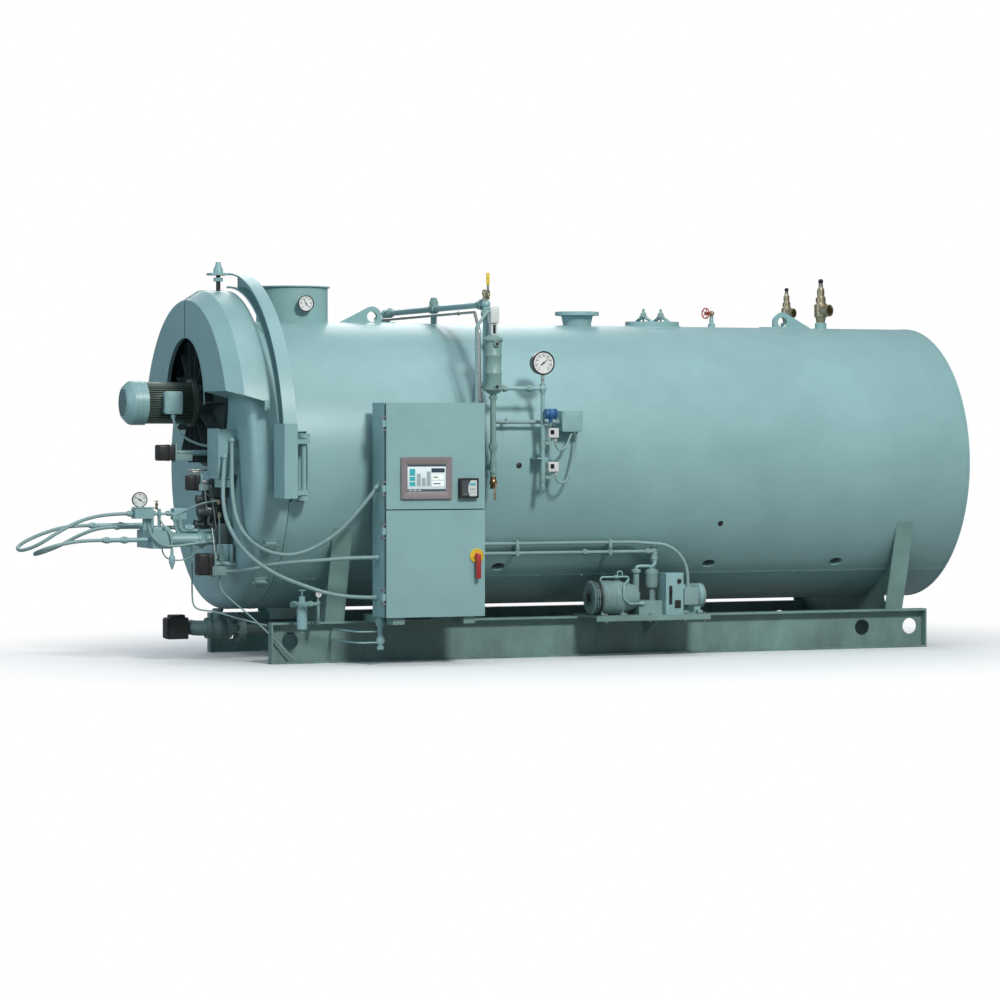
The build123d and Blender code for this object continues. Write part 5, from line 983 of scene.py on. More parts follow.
# Small tubes that hang between fittings, at the burner and from the pressure controls to their box.
tubes = {
    "returnLoop": {"body": "front_head", "radius": 0.0095, "length": 0.652, "route": [
        (-3575, -500, 1042), (-3575, -530, 985), (-3550, -580, 920), (-3490, -590, 872), (-3390, -585, 868),
        (-3272, -580, 882), (-3150, -565, 895), (-3062, -550, 903)]},
    "feedLoop": {"body": "front_head", "radius": 0.0095, "length": 0.304, "route": [
        (-3165, -545, 893), (-3270, -530, 900), (-3335, -512, 935), (-3368, -500, 995),
        (-3374, -500, 1052)]},
    "pilotTube": {"body": "front_head", "radius": 0.006, "length": 0.495, "route": [
        (-3548, -500, 1107), (-3462, -500, 1104), (-3400, -500, 1090), (-3350, -505, 1098),
        (-3262, -520, 1144), (-3157, -550, 1188), (-3085, -582, 1195)]},
    "bulbTube": {"body": "front_head", "radius": 0.0065, "length": 0.264, "route": [
        (-3417, -578, 848), (-3417, -578, 900), (-3430, -575, 963), (-3475, -540, 1020),
        (-3492, -500, 1075)]},
    "drainTube": {"body": "front_head", "radius": 0.005, "length": 0.375, "route": [
        (-3470, -500, 850), (-3462, -500, 800), (-3410, -500, 765), (-3320, -500, 760), (-3240, -505, 785),
        (-3170, -520, 850)]},
    "controlLoopUpper": {"body": "boiler", "radius": 0.0085, "length": 0.29, "route": [
        (-652, -1215, 1633), (-648, -1215, 1590), (-615, -1215, 1560), (-560, -1205, 1590),
        (-525, -1180, 1650), (-482, -1150, 1705)]},
    "controlLoopLower": {"body": "boiler", "radius": 0.0085, "length": 0.52, "route": [
        (-652, -1215, 1381), (-646, -1215, 1340), (-600, -1215, 1318), (-540, -1205, 1350),
        (-500, -1180, 1470), (-460, -1160, 1600), (-449, -1150, 1705)]},
}
feedEnd = coupling((-3.374, -0.5, 1.1), downward, 0.015, 0.05)
pilotEnd = coupling((-3.085, -0.585, 1.195), (1, -0.6, -0.1), 0.009, 0.025)
bulbEnd = coupling((-3.492, -0.5, 1.068), upward, 0.011, 0.024)
endFittings = {
    "feedLoop": newPiece("feedFitting", feedEnd, "paint", "front_head"),
    "pilotTube": newPiece("pilotFitting", pilotEnd, "brass", "front_head"),
    "bulbTube": newPiece("bulbFitting", bulbEnd, "paint", "front_head"),
}
for name, values in tubes.items():
    ends = [endFittings[name]] if name in endFittings else []
    layCord(name, values, values["body"], 4, far_end="fitting" if ends else "object", stiffness="stiff",
            with_pieces=ends)
print("burner done")


# Loops of a rounded rectangle facing the near side, joined from back to front and in to the middle.
def panelForm(centre, loops, samples=48):
    turn = (np.arange(samples) + 0.5) / samples * 2 * np.pi
    grid = np.zeros((len(loops), samples, 3))
    for row, (width, height, corner, level) in enumerate(loops):
        grid[row, :, 0] = centre[0] + np.sign(np.cos(turn)) * (width / 2 - corner) + corner * np.cos(turn)
        grid[row, :, 2] = centre[1] + np.sign(np.sin(turn)) * (height / 2 - corner) + corner * np.sin(turn)
        grid[row, :, 1] = level
    return grid


# Operator screen: moulded bezel with a sunk lit panel of plain blocks, and the small controller beside it.
screen = {"middle": (-1.750, 1.367), "outer": (0.395, 0.306), "glass": (0.297, 0.196), "face": -1.422,
          "sunk": -1.4165}
bezelGrey = moulded("bezelGrey", (0.235, 0.20, 0.205), 0.45, shade=0.05)
w, h = screen["outer"]
gw, gh = screen["glass"]
bezel = [(0, 0, 0, -1.4), (w, h, 0.012, -1.4), (w, h, 0.012, -1.417),
         (w - 0.006, h - 0.006, 0.01, screen["face"]), (gw + 0.022, gh + 0.022, 0.006, screen["face"]),
         (gw, gh, 0.003, screen["sunk"]), (gw, gh, 0.003, screen["sunk"] + 0.003),
         (0, 0, 0, screen["sunk"] + 0.003)]
newPiece("screenBezel", [panelForm(screen["middle"], bezel)], bezelGrey, "upper_door",
         ["operator_screen"])
lit, shader, place = newFinish("litPanel", (0.6, 0.68, 0.68), 0.12)
axes = [place.make("ShaderNodeSeparateXYZ", sockets={0: place}, out=k) for k in (0, 2)]
across = (axes[0] - (screen["middle"][0] - gw / 2)) / gw
up = (axes[1] - (screen["middle"][1] - gh / 2)) / gh


# Share of a lit block: inside its span across and its span up.
def litBlock(left, right, low, high):
    wide = between(across, left, left + 0.004) * (1 - between(across, right, right + 0.004))
    return wide * between(up, low, low + 0.006) * (1 - between(up, high, high + 0.006))


tone = mixColour(between(up, 0.0, 1.0), (0.50, 0.60, 0.62), (0.72, 0.80, 0.80))
blocks = [((0.0, 1.0, 0.92, 1.0), (0.05, 0.08, 0.1)), ((0.0, 1.0, 0.0, 0.09), (0.06, 0.09, 0.11)),
          ((0.62, 0.97, 0.70, 0.86), (0.03, 0.05, 0.07)), ((0.05, 0.2, 0.2, 0.84), (0.05, 0.36, 0.38)),
          ((0.24, 0.34, 0.2, 0.66), (0.30, 0.36, 0.38)), ((0.37, 0.47, 0.2, 0.5), (0.30, 0.36, 0.38)),
          ((0.5, 0.6, 0.2, 0.74), (0.30, 0.36, 0.38)), ((0.64, 0.95, 0.44, 0.62), (0.85, 0.88, 0.86)),
          ((0.64, 0.95, 0.2, 0.38), (0.85, 0.88, 0.86)), ((0.67, 0.8, 0.5, 0.55), (0.08, 0.3, 0.12)),
          ((0.67, 0.86, 0.26, 0.31), (0.1, 0.16, 0.3)), ((0.06, 0.19, 0.55, 0.58), (0.7, 0.78, 0.78)),
          ((0.06, 0.19, 0.36, 0.39), (0.7, 0.78, 0.78)), ((0.03, 0.12, 0.025, 0.065), (0.4, 0.46, 0.48)),
          ((0.15, 0.24, 0.025, 0.065), (0.4, 0.46, 0.48)), ((0.27, 0.36, 0.025, 0.065), (0.4, 0.46, 0.48))]
for span, colour in blocks:
    tone = mixColour(litBlock(*span), tone, colour)
link(shader, "Base Color", tone)
link(shader, "Emission Color", tone)
shader.inputs["Emission Strength"].default_value = 0.22
shader.inputs["Coat Weight"].default_value = 0.4
glass = [(0, 0, 0, screen["sunk"] + 0.0024), (gw - 0.001, gh - 0.001, 0.003, screen["sunk"] + 0.0024),
         (gw - 0.001, gh - 0.001, 0.003, screen["sunk"] + 0.0014), (0, 0, 0, screen["sunk"] + 0.0014)]
newPiece("screenGlass", [panelForm(screen["middle"], glass)], lit, "upper_door")
small = {"middle": (-1.426, 1.292), "size": (0.149, 0.147), "face": -1.440}
w, h = small["size"]
frameLoops = [(0, 0, 0, -1.4), (w, h, 0.008, -1.4), (w, h, 0.008, -1.434),
              (w - 0.008, h - 0.008, 0.006, small["face"]), (w - 0.026, h - 0.026, 0.005, small["face"]),
              (w - 0.03, h - 0.03, 0.004, small["face"] + 0.003), (0, 0, 0, small["face"] + 0.003)]
newPiece("controllerFrame", [panelForm(small["middle"], frameLoops)], "black_plastic", "upper_door",
         stands=["burner_controller"])
pale, shader, place = newFinish("controllerPlate", (0.62, 0.64, 0.62), 0.4)
axes = [place.make("ShaderNodeSeparateXYZ", sockets={0: place}, out=k) for k in (0, 2)]
across = (axes[0] - (small["middle"][0] - 0.056)) / 0.112
up = (axes[1] - (small["middle"][1] - 0.055)) / 0.11
curve = between(((across - 1.35) * (across - 1.35) + (up - 0.45) * (up - 0.45)) ** 0.5, 0.93, 0.94)
tone = mixColour(curve, (0.60, 0.63, 0.61), (0.06, 0.07, 0.075))
for span, colour in [
    ((0.52, 0.94, 0.66, 0.84), (0.1, 0.45, 0.5)), ((0.54, 0.62, 0.38, 0.46), (0.12, 0.13, 0.14)),
    ((0.68, 0.76, 0.38, 0.46), (0.12, 0.13, 0.14)), ((0.82, 0.9, 0.38, 0.46), (0.12, 0.13, 0.14)),
    ((0.54, 0.9, 0.2, 0.24), (0.3, 0.32, 0.32)), ((0.1, 0.3, 0.1, 0.13), (0.35, 0.37, 0.37))]:
    tone = mixColour(litBlock(*span), tone, colour)
link(shader, "Base Color", tone)
link(shader, "Roughness", noise(place, 300.0) * 0.15 + 0.33)
face = small["face"] + 0.0026
plateLoops = [(0, 0, 0, face), (0.117, 0.115, 0.004, face), (0.117, 0.115, 0.004, face - 0.0012),
              (0, 0, 0, face - 0.0012)]
newPiece("controllerPlate", [panelForm(small["middle"], plateLoops)], pale, "upper_door")

# Disconnect: yellow plate with a raised ring, and the red grip that hangs from its hub.
hub = np.array([-1.355, -1.4, 0.798])
ring = [(0, 0), (0, 0.053), (0.008, 0.053), (0.011, 0.050), (0.011, 0.042), (0.009, 0.040), (0.009, 0.03),
        (0.014, 0.028), (0.014, 0)]
places = around(hub - (0, 0.009, 0), toNear, (1, 0, 1), 0.036, 4)
screws = [button(0.003, 0.0025, 0.002, p, toNear, 10) for p in places]
newPiece("disconnectRing", [turned(ring, hub, toNear, 48), *screws],
         "yellow", "lower_door", stands=["disconnect_plate"])
gripLow, gripHigh = [np.array(corner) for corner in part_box("disconnect_handle")]
gripSize, gripMiddle = gripHigh - gripLow, (gripHigh + gripLow) / 2
gripHub = [(0, 0), (0, 0.024), (0.026, 0.022), (0.03, 0.018), (0.03, 0)]
newPiece("disconnectGrip", [
    roundBlock(gripMiddle - (0, 0.006, 0), gripSize * (1, 0.66, 1), 0.008, 2, 0.012),
    turned(gripHub, (hub[0], gripHigh[1], hub[2]), toNear, 32),
    roundBlock(gripMiddle - (0, gripSize[1] * 0.36, 0), gripSize * (0.5, 0.24, 0.82), 0.004, 2, 0.006)],
    "red", "disconnect_handle", stands=["disconnect_handle"])

# Cabinet: gasket line round each door, and its inside with plate, ducts, rows of breakers and wires.
grids = []
cabinet = {"left": -2.056, "right": -1.294, "seal": -1.3795, "doors": ((0.362, 1.134), (1.142, 1.909)),
           "middle": -1.675}
left, right, seal, centreX = [cabinet[key] for key in ("left", "right", "seal", "middle")]
for low, high in cabinet["doors"]:
    outline = [(left, seal, low), (right, seal, low), (right, seal, high), (left, seal, high),
               (left, seal, low)]
    grids.append(rigidPipe(outline, 0.0035, 0.01, 10))
newPiece("doorGaskets", grids, "black_plastic")
studs = [stub(0, 0.018, 0.008, (x, -1.1385, z), toFar, 12) for x in (-1.99, -1.36)
         for z in (0.43, 1.135, 1.84)]
newPiece("backPlate", [roundBlock((centreX, -1.139, 1.135), (0.68, 0.004, 1.46), 0.0015, 1, 0.004), *studs],
         "white_plastic")
inside = {"rows": (1.72, 1.46, 1.2, 0.94, 0.68), "ducts": (1.84, 1.59, 1.33, 1.07, 0.81, 0.55)}
ducts = [roundBlock((centreX, -1.172, z), (0.64, 0.06, 0.05), 0.003) for z in inside["ducts"]]
ducts += [roundBlock((x, -1.172, 1.195), (0.05, 0.06, 1.34), 0.003) for x in (-1.985, -1.365)]
newPiece("wireDucts", ducts, paleCase)
rails = [roundBlock((centreX, -1.145, z), (0.56, 0.008, 0.035), 0.001) for z in inside["rows"]]
newPiece("deviceRails", rails, "plain_steel")
dark, light = [], []
for row, z in enumerate(inside["rows"]):
    for k in range(14 - 2 * (row % 2)):
        x = -1.93 + 0.036 * k + 0.02 * (row % 3)
        tall = (0.085, 0.09, 0.1)[(k + row) % 3]
        proud = 0.006 * ((k * 2 + row) % 3)
        device = roundBlock((x, -1.175 - proud / 2, z), (0.033, 0.055 + proud, tall), 0.003)
        (dark if (k // 3 + row) % 2 else light).append(device)
        dark.append(roundBlock((x, -1.207 - proud, z + 0.012), (0.012, 0.012, 0.02), 0.002))
newPiece("darkDevices", dark, "black_plastic")
newPiece("paleDevices", light, "white_plastic")
wires = []
for z in inside["rows"]:
    for x in [-1.92 + 0.05 * k for k in range(11)]:
        drop = [(x, -1.19, z - 0.045), (x, -1.19, z - 0.085), (x, -1.18, z - 0.11)]
        wires.append(rigidPipe(drop, 0.003, 0.008, 8))
newPiece("panelWires", wires, "hose_rubber")

# Pipe under the cabinet's left end, with two thin tubes to the base.
dropCap = [(0, 0), (0, 0.026), (0.02, 0.026), (0.026, 0.018), (0.026, 0)]
grids = [
    rigidPipe([(-2.03, -1.2, 0.358), (-2.03, -1.2, 0.13)], 0.018),
    *coupling((-2.03, -1.2, 0.345), downward, 0.028, 0.06),
    *coupling((-2.03, -1.2, 0.21), downward, 0.026, 0.05),
    turned(dropCap, (-2.03, -1.2, 0.14), downward, 24)]
grids += [
    rigidPipe([(-2.03, -1.2, z), (-2.20, -1.2, z), (-2.24, -0.80, z), (-2.24, -0.735, z)], 0.0065, 0.03)
    for z in (0.249, 0.169)]
newPiece("cabinetDrop", grids, "paint")
print("cabinet done")

# Compressor shelf: guard and ribs on the drum, tubes, filter caps, box lid with lever, motor's fins, bolts.
drum = {"x": -0.277, "y": -0.985, "z": 0.453}
drumEnd = np.array([drum[key] for key in "xyz"])
guard = [
    turned([(s - 0.003, r), (s, r + 0.003), (s + 0.003, r), (s, r - 0.003),
            (s - 0.003, r)], drumEnd, toRear, 48)
    for s, r in ((-0.0045, 0.03), (0.0, 0.06), (0.0045, 0.09), (0.008, 0.115), (0.014, 0.134),
                 (0.028, 0.136), (0.042, 0.136))]
for spoke in around(drumEnd + (0.014, 0, 0), toRear, toFar, 0.134, 10):
    guard.append(rigidPipe([drumEnd - (0.006, 0, 0), spoke], 0.0028, sides=8))
    guard.append(rigidPipe([spoke, spoke + (0.036, 0, 0)], 0.0028, sides=8))
guard.append(turned([(0.046, 0.12), (0.046, 0.1345), (0.062, 0.1345), (0.062, 0.12)], drumEnd, toRear, 48))
newPiece("fanGuard", guard, "black_plastic")
ribs = [turned([(s, 0.12), (s, 0.1315), (s + 0.005, 0.1315), (s + 0.005, 0.12)], drumEnd, toRear, 48)
        for s in (0.095, 0.12, 0.145, 0.17)]
ribs += bolts(around(drumEnd + (0.238, 0, 0), toRear, toFar, 0.126, 8), toRear, 0.014, 0.009)
ribs += [roundBlock((x, drum["y"], 0.327), (0.05, 0.2, 0.012), 0.003) for x in (-0.19, -0.03)]
ribs += [roundBlock((x, drum["y"], 0.338), (0.03, 0.13, 0.03), 0.003) for x in (-0.19, -0.03)]
newPiece("drumRibs", ribs, "motor_paint")
tubing = [
    rigidPipe([(-0.2, -1.02, 0.575), (-0.2, -1.02, 0.608), (0.035, -1.02, 0.608),
               (0.035, -1.0, 0.53)], 0.0075, 0.022),
    rigidPipe([(-0.06, -1.02, 0.608), (-0.06, -1.02, 0.65), (-0.02, -1.02, 0.65),
               (-0.02, -1.02, 0.608)], 0.005, 0.015),
    rigidPipe([(0.03, -1.02, 0.585), (-0.05, -1.115, 0.545), (-0.055, -1.125, 0.45), (0.0, -1.11, 0.408),
               (0.13, -1.09, 0.408), (0.16, -1.06, 0.408)], 0.0085, 0.03),
    rigidPipe([(0.11, -0.985, 0.66), (0.11, -0.985, 0.685), (0.24, -0.985, 0.685),
               (0.24, -0.985, 0.655)], 0.012, 0.025),
    rigidPipe([(0.24, -0.985, 0.68), (0.285, -0.95, 0.70), (0.285, -0.93, 0.74)], 0.013, 0.02)]
tubing += coupling((-0.085, -1.02, 0.608), toRear, 0.012, 0.03)
tubing += coupling((0.285, -0.93, 0.71), upward, 0.019, 0.03)
tubing += coupling((0.095, -1.09, 0.408), toRear, 0.014, 0.03)
tubing += [
    turned([(0, 0), (0, 0.028), (0.006, 0.031), (0.012, 0.028), (0.014, 0)], (0.285, -0.93, z), upward, 28)
    for z in (0.735, 0.80)]
newPiece("compressorTubes", tubing, "paint")
caps = [
    turned([(0, 0), (0, 0.036), (0.01, 0.038), (0.024, 0.034), (0.03, 0.014), (0.04, 0.012),
            (0.041, 0)], (0.11, drum["y"], 0.636), upward, 32),
    turned([(0, 0.045), (0, 0.053), (0.014, 0.053), (0.03, 0.05), (0.04, 0.03), (0.046, 0.012),
            (0.047, 0)], (0.24, drum["y"], 0.622), upward, 36)]
caps += [turned([(0, 0.04), (0, 0.0525), (0.008, 0.0525), (0.008, 0.04)], (0.24, drum["y"], z), upward, 36)
         for z in (0.565, 0.59)]
newPiece("filterCaps", caps, "motor_paint")
lid = [roundBlock((0.361, -1.138, 0.477), (0.146, 0.01, 0.318), 0.003, 1, 0.006)]
lid += [button(0.005, 0.004, 0.003, p, toNear, 12) for p in corners((0.361, -1.143, 0.477), 0.062, 0.145)]
newPiece("controlBoxLid", lid, "paint")
newPiece("controlBoxLever", [
    roundBlock((0.325, -1.146, 0.47), (0.024, 0.008, 0.14), 0.003),
    roundBlock((0.325, -1.155, 0.50), (0.014, 0.02, 0.045), 0.004),
    turned([(0, 0), (0, 0.017), (0.012, 0.016), (0.016, 0.012),
            (0.016, 0)], (0.395, -1.143, 0.575), toNear, 24),
    roundBlock((0.385, -1.1455, 0.40), (0.05, 0.005, 0.06), 0.002)], "black_plastic")
motorFoot = np.array([0.457, drum["y"], 0.455])
fins = [roundBlock(p, (0.088, 0.006, 0.006), 0.002)
        for p in around(motorFoot + (0.107, 0, 0), toRear, toFar, 0.089, 40) if p[2] > 0.385]
fins += [
    turned([(0.176, 0.07), (0.176, 0.0935), (0.196, 0.0935), (0.206, 0.08), (0.206, 0.03), (0.2, 0.028),
            (0.2, 0)], motorFoot, toRear, 40)]
fins += [roundBlock((0.5125, -1.109, 0.455), (0.118, 0.008, 0.128), 0.003, 1, 0.008)]
fins += coupling((0.5125, -1.06, 0.395), downward, 0.014, 0.03)
fins += [roundBlock((x, drum["y"], 0.334), (0.045, 0.17, 0.024), 0.004) for x in (0.49, 0.61)]
newPiece("smallMotorFins", fins, "motor_paint")
pegs = []
for x in (-0.2, 0.16, 0.45, 0.62):
    pegs += bolt((x, -1.13, 0.297), downward, 0.02, 0.03)
    pegs += bolt((x, -1.13, 0.321), upward, 0.02, 0.014)
newPiece("shelfBolts", pegs, "plain_steel")

# Rigid conduits along the shell, sweeping down to the small motor, with clips, couplings and a silencer.
runs = {"start": -1.33, "y": -0.95, "upper": 0.867, "lower": 0.795, "radius": 0.013,
        "silencer": (0.285, -0.93)}
grids = [
    rigidPipe([(runs["start"], -1.12, z), (runs["start"], runs["y"], z),
               (0.1 if z > 0.8 else 0.272, runs["y"], z)], runs["radius"], 0.05)
    for z in (runs["upper"], runs["lower"])]
sweep = [(0.1, runs["y"], runs["upper"]), (0.5125, -1.03, runs["upper"] - 0.03), (0.5125, -1.052, 0.512)]
silencer = [(0, 0), (0, 0.011), (0.295, 0.011), (0.296, 0.026), (0.404, 0.026), (0.408, 0.022),
            (0.41, 0.009), (0.428, 0.009), (0.43, 0)]
grids += [rigidPipe(sweep, runs["radius"], 0.24),
          turned(silencer, (*runs["silencer"], 0.426), upward, 28)]
for x in (-0.85, -0.09):
    grids += [roundBlock((x, -0.922, 0.831), (0.026, 0.09, 0.118), 0.004),
              *bolt((x, -0.966, 0.831), toNear, 0.018, 0.012)]
for x, z in ((-0.32, 0.795), (0.2, 0.795), (-1.15, 0.867)):
    grids += coupling((x, runs["y"], z), toRear, 0.019, 0.045)
grids += coupling((0.5125, -1.0515, 0.53), (0, 0.05, -1), 0.018, 0.03)
newPiece("rigidConduits", grids, "conduit_cover", stands=["conduit_runs"])
print("compressor done")


# Where an upright of some radius meets the round shell: its ring dropped onto the shell's surface.
def weldRing(x, y, radius, bead, across=None):
    turn = np.linspace(0, 2 * np.pi, 73)
    side = y + (across or radius) * np.sin(turn)
    rise = shell["height"] + np.sqrt(shell["radius"] ** 2 - side ** 2)
    ripple = bead * (1 + 0.12 * np.sin(turn * 60))
    return tubeGrid(np.stack([x + radius * np.cos(turn), side, rise], -1), ripple, 10)


beads = [weldRing(-2.298, 0, 0.272, 0.007), weldRing(0.05, 0, 0.103, 0.006),
         weldRing(0.696, 0, 0.225, 0.007, 0.175), weldRing(1.215, 0, 0.022, 0.004),
         weldRing(2.19, 0, 0.042, 0.005), weldRing(1.938, 0.11, 0.036, 0.005)]
ridge = shell["height"] + shell["radius"] + 0.002
for x in (-1.66, 1.839):
    beads += [rigidPipe([(x - 0.19, y, ridge), (x + 0.19, y, ridge)], 0.006) for y in (-0.017, 0.017)]
newPiece("weldBeads", beads, "paint")

# Jacket: lap strips along both flanks under the middle, with a row of screws, and a band at each end.
lap = np.linspace(np.radians(50.0), np.radians(52.2), 5)
strips = []
for hand in (-1, 1):
    rise = np.array([0.0002, 0.0018, 0.0022, 0.0018, 0.0002]) + shell["radius"]
    grid = np.zeros((2, 5, 3))
    grid[..., 0] = np.array([shell["front"] + 0.004, shell["rear"] - 0.004])[:, None]
    grid[..., 1], grid[..., 2] = hand * rise * np.cos(lap), shell["height"] - rise * np.sin(lap)
    strips.append(np.concatenate([grid, grid[:, ::-1]], 1))
for x in (shell["front"] + 0.03, shell["rear"] - 0.012):
    strips.append(turned([
        (-0.012, 1.0795), (-0.012, 1.0825), (0.012, 1.0825),
        (0.012, 1.0795)], (x, 0, shell["height"]), toRear, 160))
newPiece("jacketLaps", strips, "paint")
rivets = []
for hand in (-1, 1):
    out = np.array([0, hand * np.cos(lap[2]), -np.sin(lap[2])])
    foot = np.array([0, 0, shell["height"]]) + out * 1.0815
    rivets += [turned([(0, 0), (0, 0.006), (0.003, 0.005), (0.004, 0)], (x, *foot[1:]), out, 10)
               for x in np.arange(-2.55, 2.9, 0.18)]
newPiece("jacketScrews", rivets, "plain_steel")

# Top fittings: davit stud and nuts, manway nuts, the valves' knobs, nuts and bosses, and plugs.
rod = np.array([-2.88, 0, 2.968])
newPiece("davitStud", [stub(-0.215, -0.098, 0.0165, rod, upward, 24)], "furnace_steel", "front_head")
domed = [(-0.094, 0), (-0.094, 0.046), (-0.086, 0.046), (-0.084, 0.037), (-0.05, 0.036), (-0.02, 0.022),
         (0.004, 0.0185), (0.006, 0.012), (0.006, 0)]
newPiece("davitNut", [
    turned(domed, rod, upward, 32), stub(-0.14, -0.112, 0.036, rod, upward, 6)], "paint", "front_head")
nuts = []
for x in (0.621, 0.771):
    nuts += [
        turned([(0, 0), (0, 0.034), (0.008, 0.034), (0.009, 0.024), (0.028, 0.024), (0.036, 0.018),
                (0.04, 0)], (x, 0, 2.604), upward, 6),
        turned([(0, 0), (0, 0.01), (0.03, 0.01), (0.032, 0)], (x, 0, 2.64), upward, 16)]
newPiece("manwayNuts", nuts, "motor_paint")

# Safety valves: station, side, top and share of the full size.
reliefValves = [(1.938, 0.110, 2.856, 0.8), (2.190, 0.0, 2.926, 1.0)]
knob = np.array([(0, 0), (0, 0.017), (0.006, 0.0195), (0.026, 0.0195), (0.034, 0.012), (0.036, 0)])
lockNut = np.array([(0, 0), (0, 0.0185), (0.014, 0.0185), (0.016, 0.016), (0.026, 0.016), (0.026, 0)])
newPiece(
    "valveKnobs",
    [turned(knob * share, (x, y, top - 0.03 * share), upward, 24) for x, y, top, share in reliefValves],
    "black_plastic")
newPiece(
    "valveLockNuts",
    [turned(lockNut * share, (x, y, top - 0.056 * share), upward, 6) for x, y, top, share in reliefValves],
    "plain_steel")
boss = [(0, 0.034), (0, 0.0465), (0.059, 0.0465), (0.062, 0.044), (0.062, 0.034)]
ventBoss = [(0, 0), (0, 0.0278), (0.036, 0.0278), (0.044, 0.017), (0.085, 0.0165), (0.088, 0.0148),
            (0.088, 0)]
bosses = [turned(boss, (x, y, 2.5165), upward, 40) for x, y, *rest in reliefValves]
bosses += [turned(ventBoss, (1.215, 0, 2.522), upward, 32)]
newPiece("valveBosses", bosses, "paint")
jacketPlugs = [
    turned([(0, 0), (0, 0.0226), (0.006, 0.0226), (0.008, 0.02), (0.008, 0)],
           (x, -1.074 * np.cos(drop), shell["height"] - 1.074 * np.sin(drop)),
           (0, -np.cos(drop), -np.sin(drop)), 28) for x, drop in ((-0.888, 0.0), (0.821, np.radians(24.7)))]
newPiece("jacketPlugs", jacketPlugs, "black_plastic")
bores = around((0.05, 0, 2.6385), upward, toRear, 0.14925, 8, offset=22.5)
plugs = [stub(0, 0.0006, 0.0105, p, upward, 20) for p in bores]
plugs += [turned([(0, 0.06), (0, 0.11), (0.001, 0.11), (0.001, 0.06)], (0.05, 0, 2.6385), upward, 48)]
newPiece("nozzlePlugs", plugs, "furnace_steel")
print("top done")

# Filter regulator: handle, side ports, drain and an outlet pipe with a small gauge.
regulator = {"x": -2.530, "y": -0.905, "port": 0.443, "outletX": -2.405, "pipe": 0.012}
rx, ry, rz, ox = regulator["x"], regulator["y"], regulator["port"], regulator["outletX"]
trim = [rigidPipe([(rx, ry, 0.495), (rx, ry, 0.545)], 0.005),
        rigidPipe([(rx - 0.026, ry, 0.545), (rx + 0.026, ry, 0.545)], 0.0045)]
trim += coupling((rx - 0.04, ry, rz), toFront, 0.02, 0.045)
trim += coupling((rx + 0.04, ry, rz), toRear, 0.02, 0.045)
drain = [(0, 0), (0, 0.034), (0.01, 0.026), (0.016, 0.012), (0.036, 0.010), (0.036, 0)]
collar = [(0, 0.036), (0, 0.041), (0.012, 0.041), (0.012, 0.036)]
outlet = [(rx + 0.06, ry, rz), (ox, ry, rz), (ox, ry, 0.297), (ox, -0.78, 0.297)]
gaugeFoot = [(0, 0), (0, 0.016), (0.02, 0.016), (0.022, 0.008), (0.05, 0.008), (0.05, 0)]
trim += [turned(drain, (rx, ry, 0.263), downward, 28), turned(collar, (rx, ry, 0.405), upward, 36),
         rigidPipe(outlet, regulator["pipe"], 0.02), turned(gaugeFoot, (ox, ry, rz), upward, 20)]
newPiece("regulatorTrim", trim, castGreen)
dial("airGauge", (ox, ry - 0.004, 0.515), 0.027, 0.022, 20, -40, "boiler")

# Gas line: valve casting, rings and bolts, and the cover of its drive.
gas = {"y": -0.120, "height": 0.238, "flange": -2.780}
# Darker green for the gas line and its fittings: the teal paint darkened as painted shade under the head.
gasLineShadeGreen = enamel("gasLineShadeEnamel", (0.12, 0.19, 0.182), 0.45, 0.1, 0.1, peel=0.5)
nodes["gas_line"].data.materials[0] = gasLineShadeGreen
line = (0, gas["y"], gas["height"])
casting = [(-3.02, 0.05), (-3.02, 0.078), (-2.996, 0.078), (-2.992, 0.064), (-2.97, 0.066), (-2.94, 0.082),
           (-2.91, 0.082), (-2.88, 0.066), (-2.862, 0.064), (-2.858, 0.08), (-2.83, 0.08), (-2.83, 0.05)]
spindle = [(0, 0), (0, 0.036), (0.07, 0.034), (0.074, 0.042), (0.092, 0.042), (0.096, 0.03), (0.096, 0)]
castings = [turned(casting, line, toRear, 40),
            turned(spindle, (-2.925, gas["y"], gas["height"] + 0.05), upward, 28)]
for place in around((gas["flange"], gas["y"], gas["height"]), toRear, toFar, 0.084, 8, offset=22.5):
    castings += bolt(place + (0.001, 0, 0), toFront, 0.024, 0.016)
    castings += bolt(place + (0.043, 0, 0), toRear, 0.024, 0.016)
newPiece("gasFittings", castings, gasLineShadeGreen)
low, high = [np.array(corner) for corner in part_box("gas_valve_actuator")]
middle = (low + high) / 2
cover = [roundBlock((low[0] - 0.004, middle[1], middle[2]), (0.02, 0.122, 0.15), 0.006, 0, 0.014),
         roundBlock((middle[0], middle[1], high[2] + 0.006), (0.12, 0.1, 0.03), 0.01, 2, 0.02)]
newPiece("gasDriveCover", cover, "black_plastic")

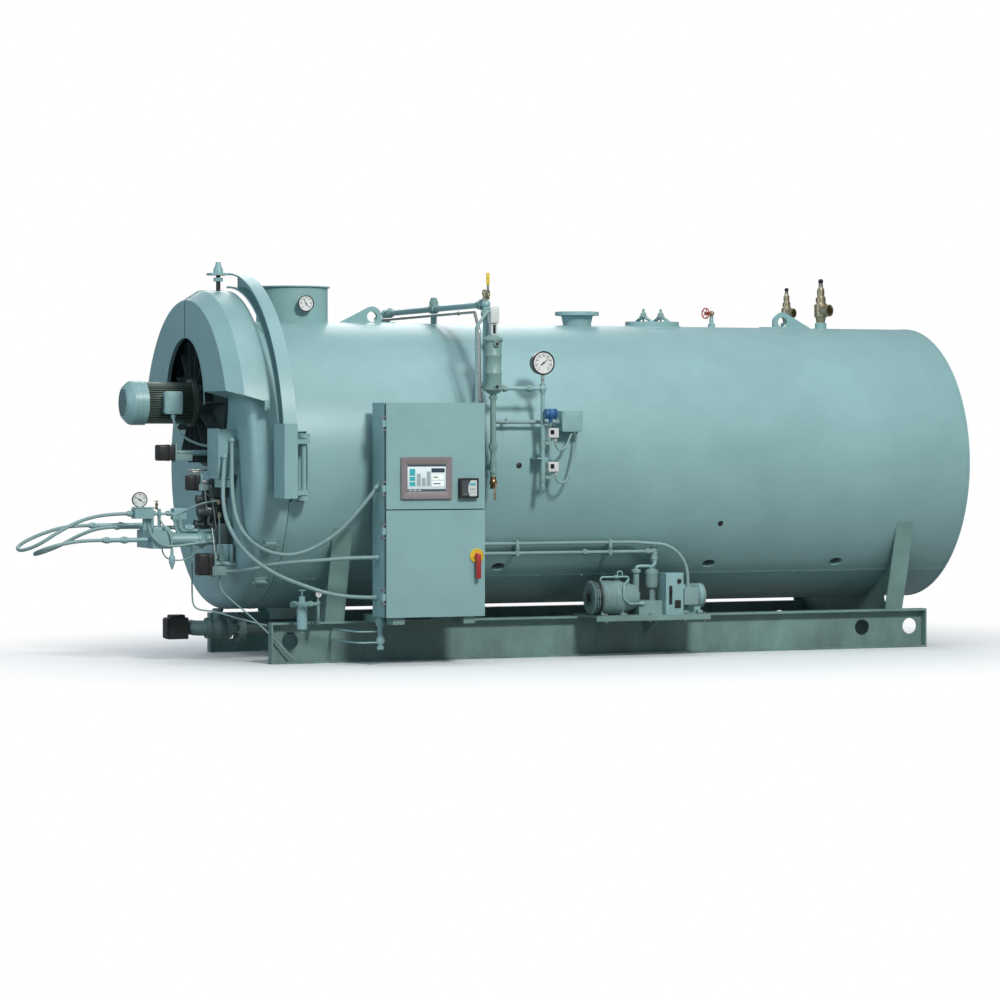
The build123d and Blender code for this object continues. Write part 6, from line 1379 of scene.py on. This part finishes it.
# Rear head: ring, bolts and handles on the access cover, and the sight port above it.
rear = {"face": 2.934, "cover": 2.964, "height": shell["height"]}
coverRing = [(0, 0.24), (0.004, 0.24), (0.004, 0.205), (0, 0.205)]
grids = [turned(coverRing, (rear["cover"], 0, rear["height"]), toRear, 64)]
grids += bolts(around((rear["cover"], 0, rear["height"]), toRear, toFar, 0.238, 16), toRear, 0.026, 0.018)
for hand in (-1, 1):
    y, low, high = hand * 0.12, rear["height"] - 0.06, rear["height"] + 0.06
    seat, grip = rear["cover"], rear["cover"] + 0.05
    handle = [(seat, y, low), (grip, y, low), (grip, y, high), (seat, y, high)]
    grids.append(rigidPipe(handle, 0.008, 0.015))
port = [(0, 0), (0, 0.06), (0.014, 0.06), (0.016, 0.045), (0.05, 0.042), (0.052, 0.052), (0.066, 0.052),
        (0.068, 0.036), (0.064, 0.034), (0.064, 0)]
portHeight = rear["height"] + 0.42
grids += [turned(port, (rear["face"], 0, portHeight), toRear, 36)]
newPiece("rearFittings", grids, "paint")
newPiece("sightGlass", [stub(0, 0.002, 0.033, (rear["face"] + 0.064, 0, portHeight), toRear, 36)], window)

# Front tube sheet: fire tube ends above and beside the furnace, each a rolled rim round a bore of painted
# shade.
sheet = {"face": -2.632, "furnace": (1.252, 0.43), "pitch": 0.094, "tube": 0.034}
rows = np.arange(-10, 11)
y, z = np.meshgrid(rows * sheet["pitch"], rows * sheet["pitch"] * 0.866 + shell["height"])
y = y + (np.arange(21) % 2)[:, None] * sheet["pitch"] / 2
furnaceZ, furnaceRadius = sheet["furnace"]
clear = (np.hypot(y, z - shell["height"]) < 0.93) & (np.hypot(y, z - furnaceZ) > furnaceRadius + 0.09)
clear &= np.abs(y) > 0  # no tube on the middle line
rim = [(0, 0), (0, sheet["tube"]), (0.006, sheet["tube"]), (0.008, sheet["tube"] - 0.002),
       (0.006, sheet["tube"] - 0.005), (0.0015, sheet["tube"] - 0.005), (0.0015, 0)]
places = np.stack([np.full(clear.sum(), sheet["face"]), y[clear], z[clear]], -1)
newPiece("tubeEnds", [turned(rim, p, toFront, 16) for p in places], "furnace_steel")
# Black discs just inside the rims: painted shade of the bores.
newPiece("tubeBoreShade",
         [stub(0, 0.0005, sheet["tube"] - 0.0055, p - (0.0018, 0, 0), toFront, 14) for p in places],
         "black_plastic")
print("ends done:", len(places), "tubes")
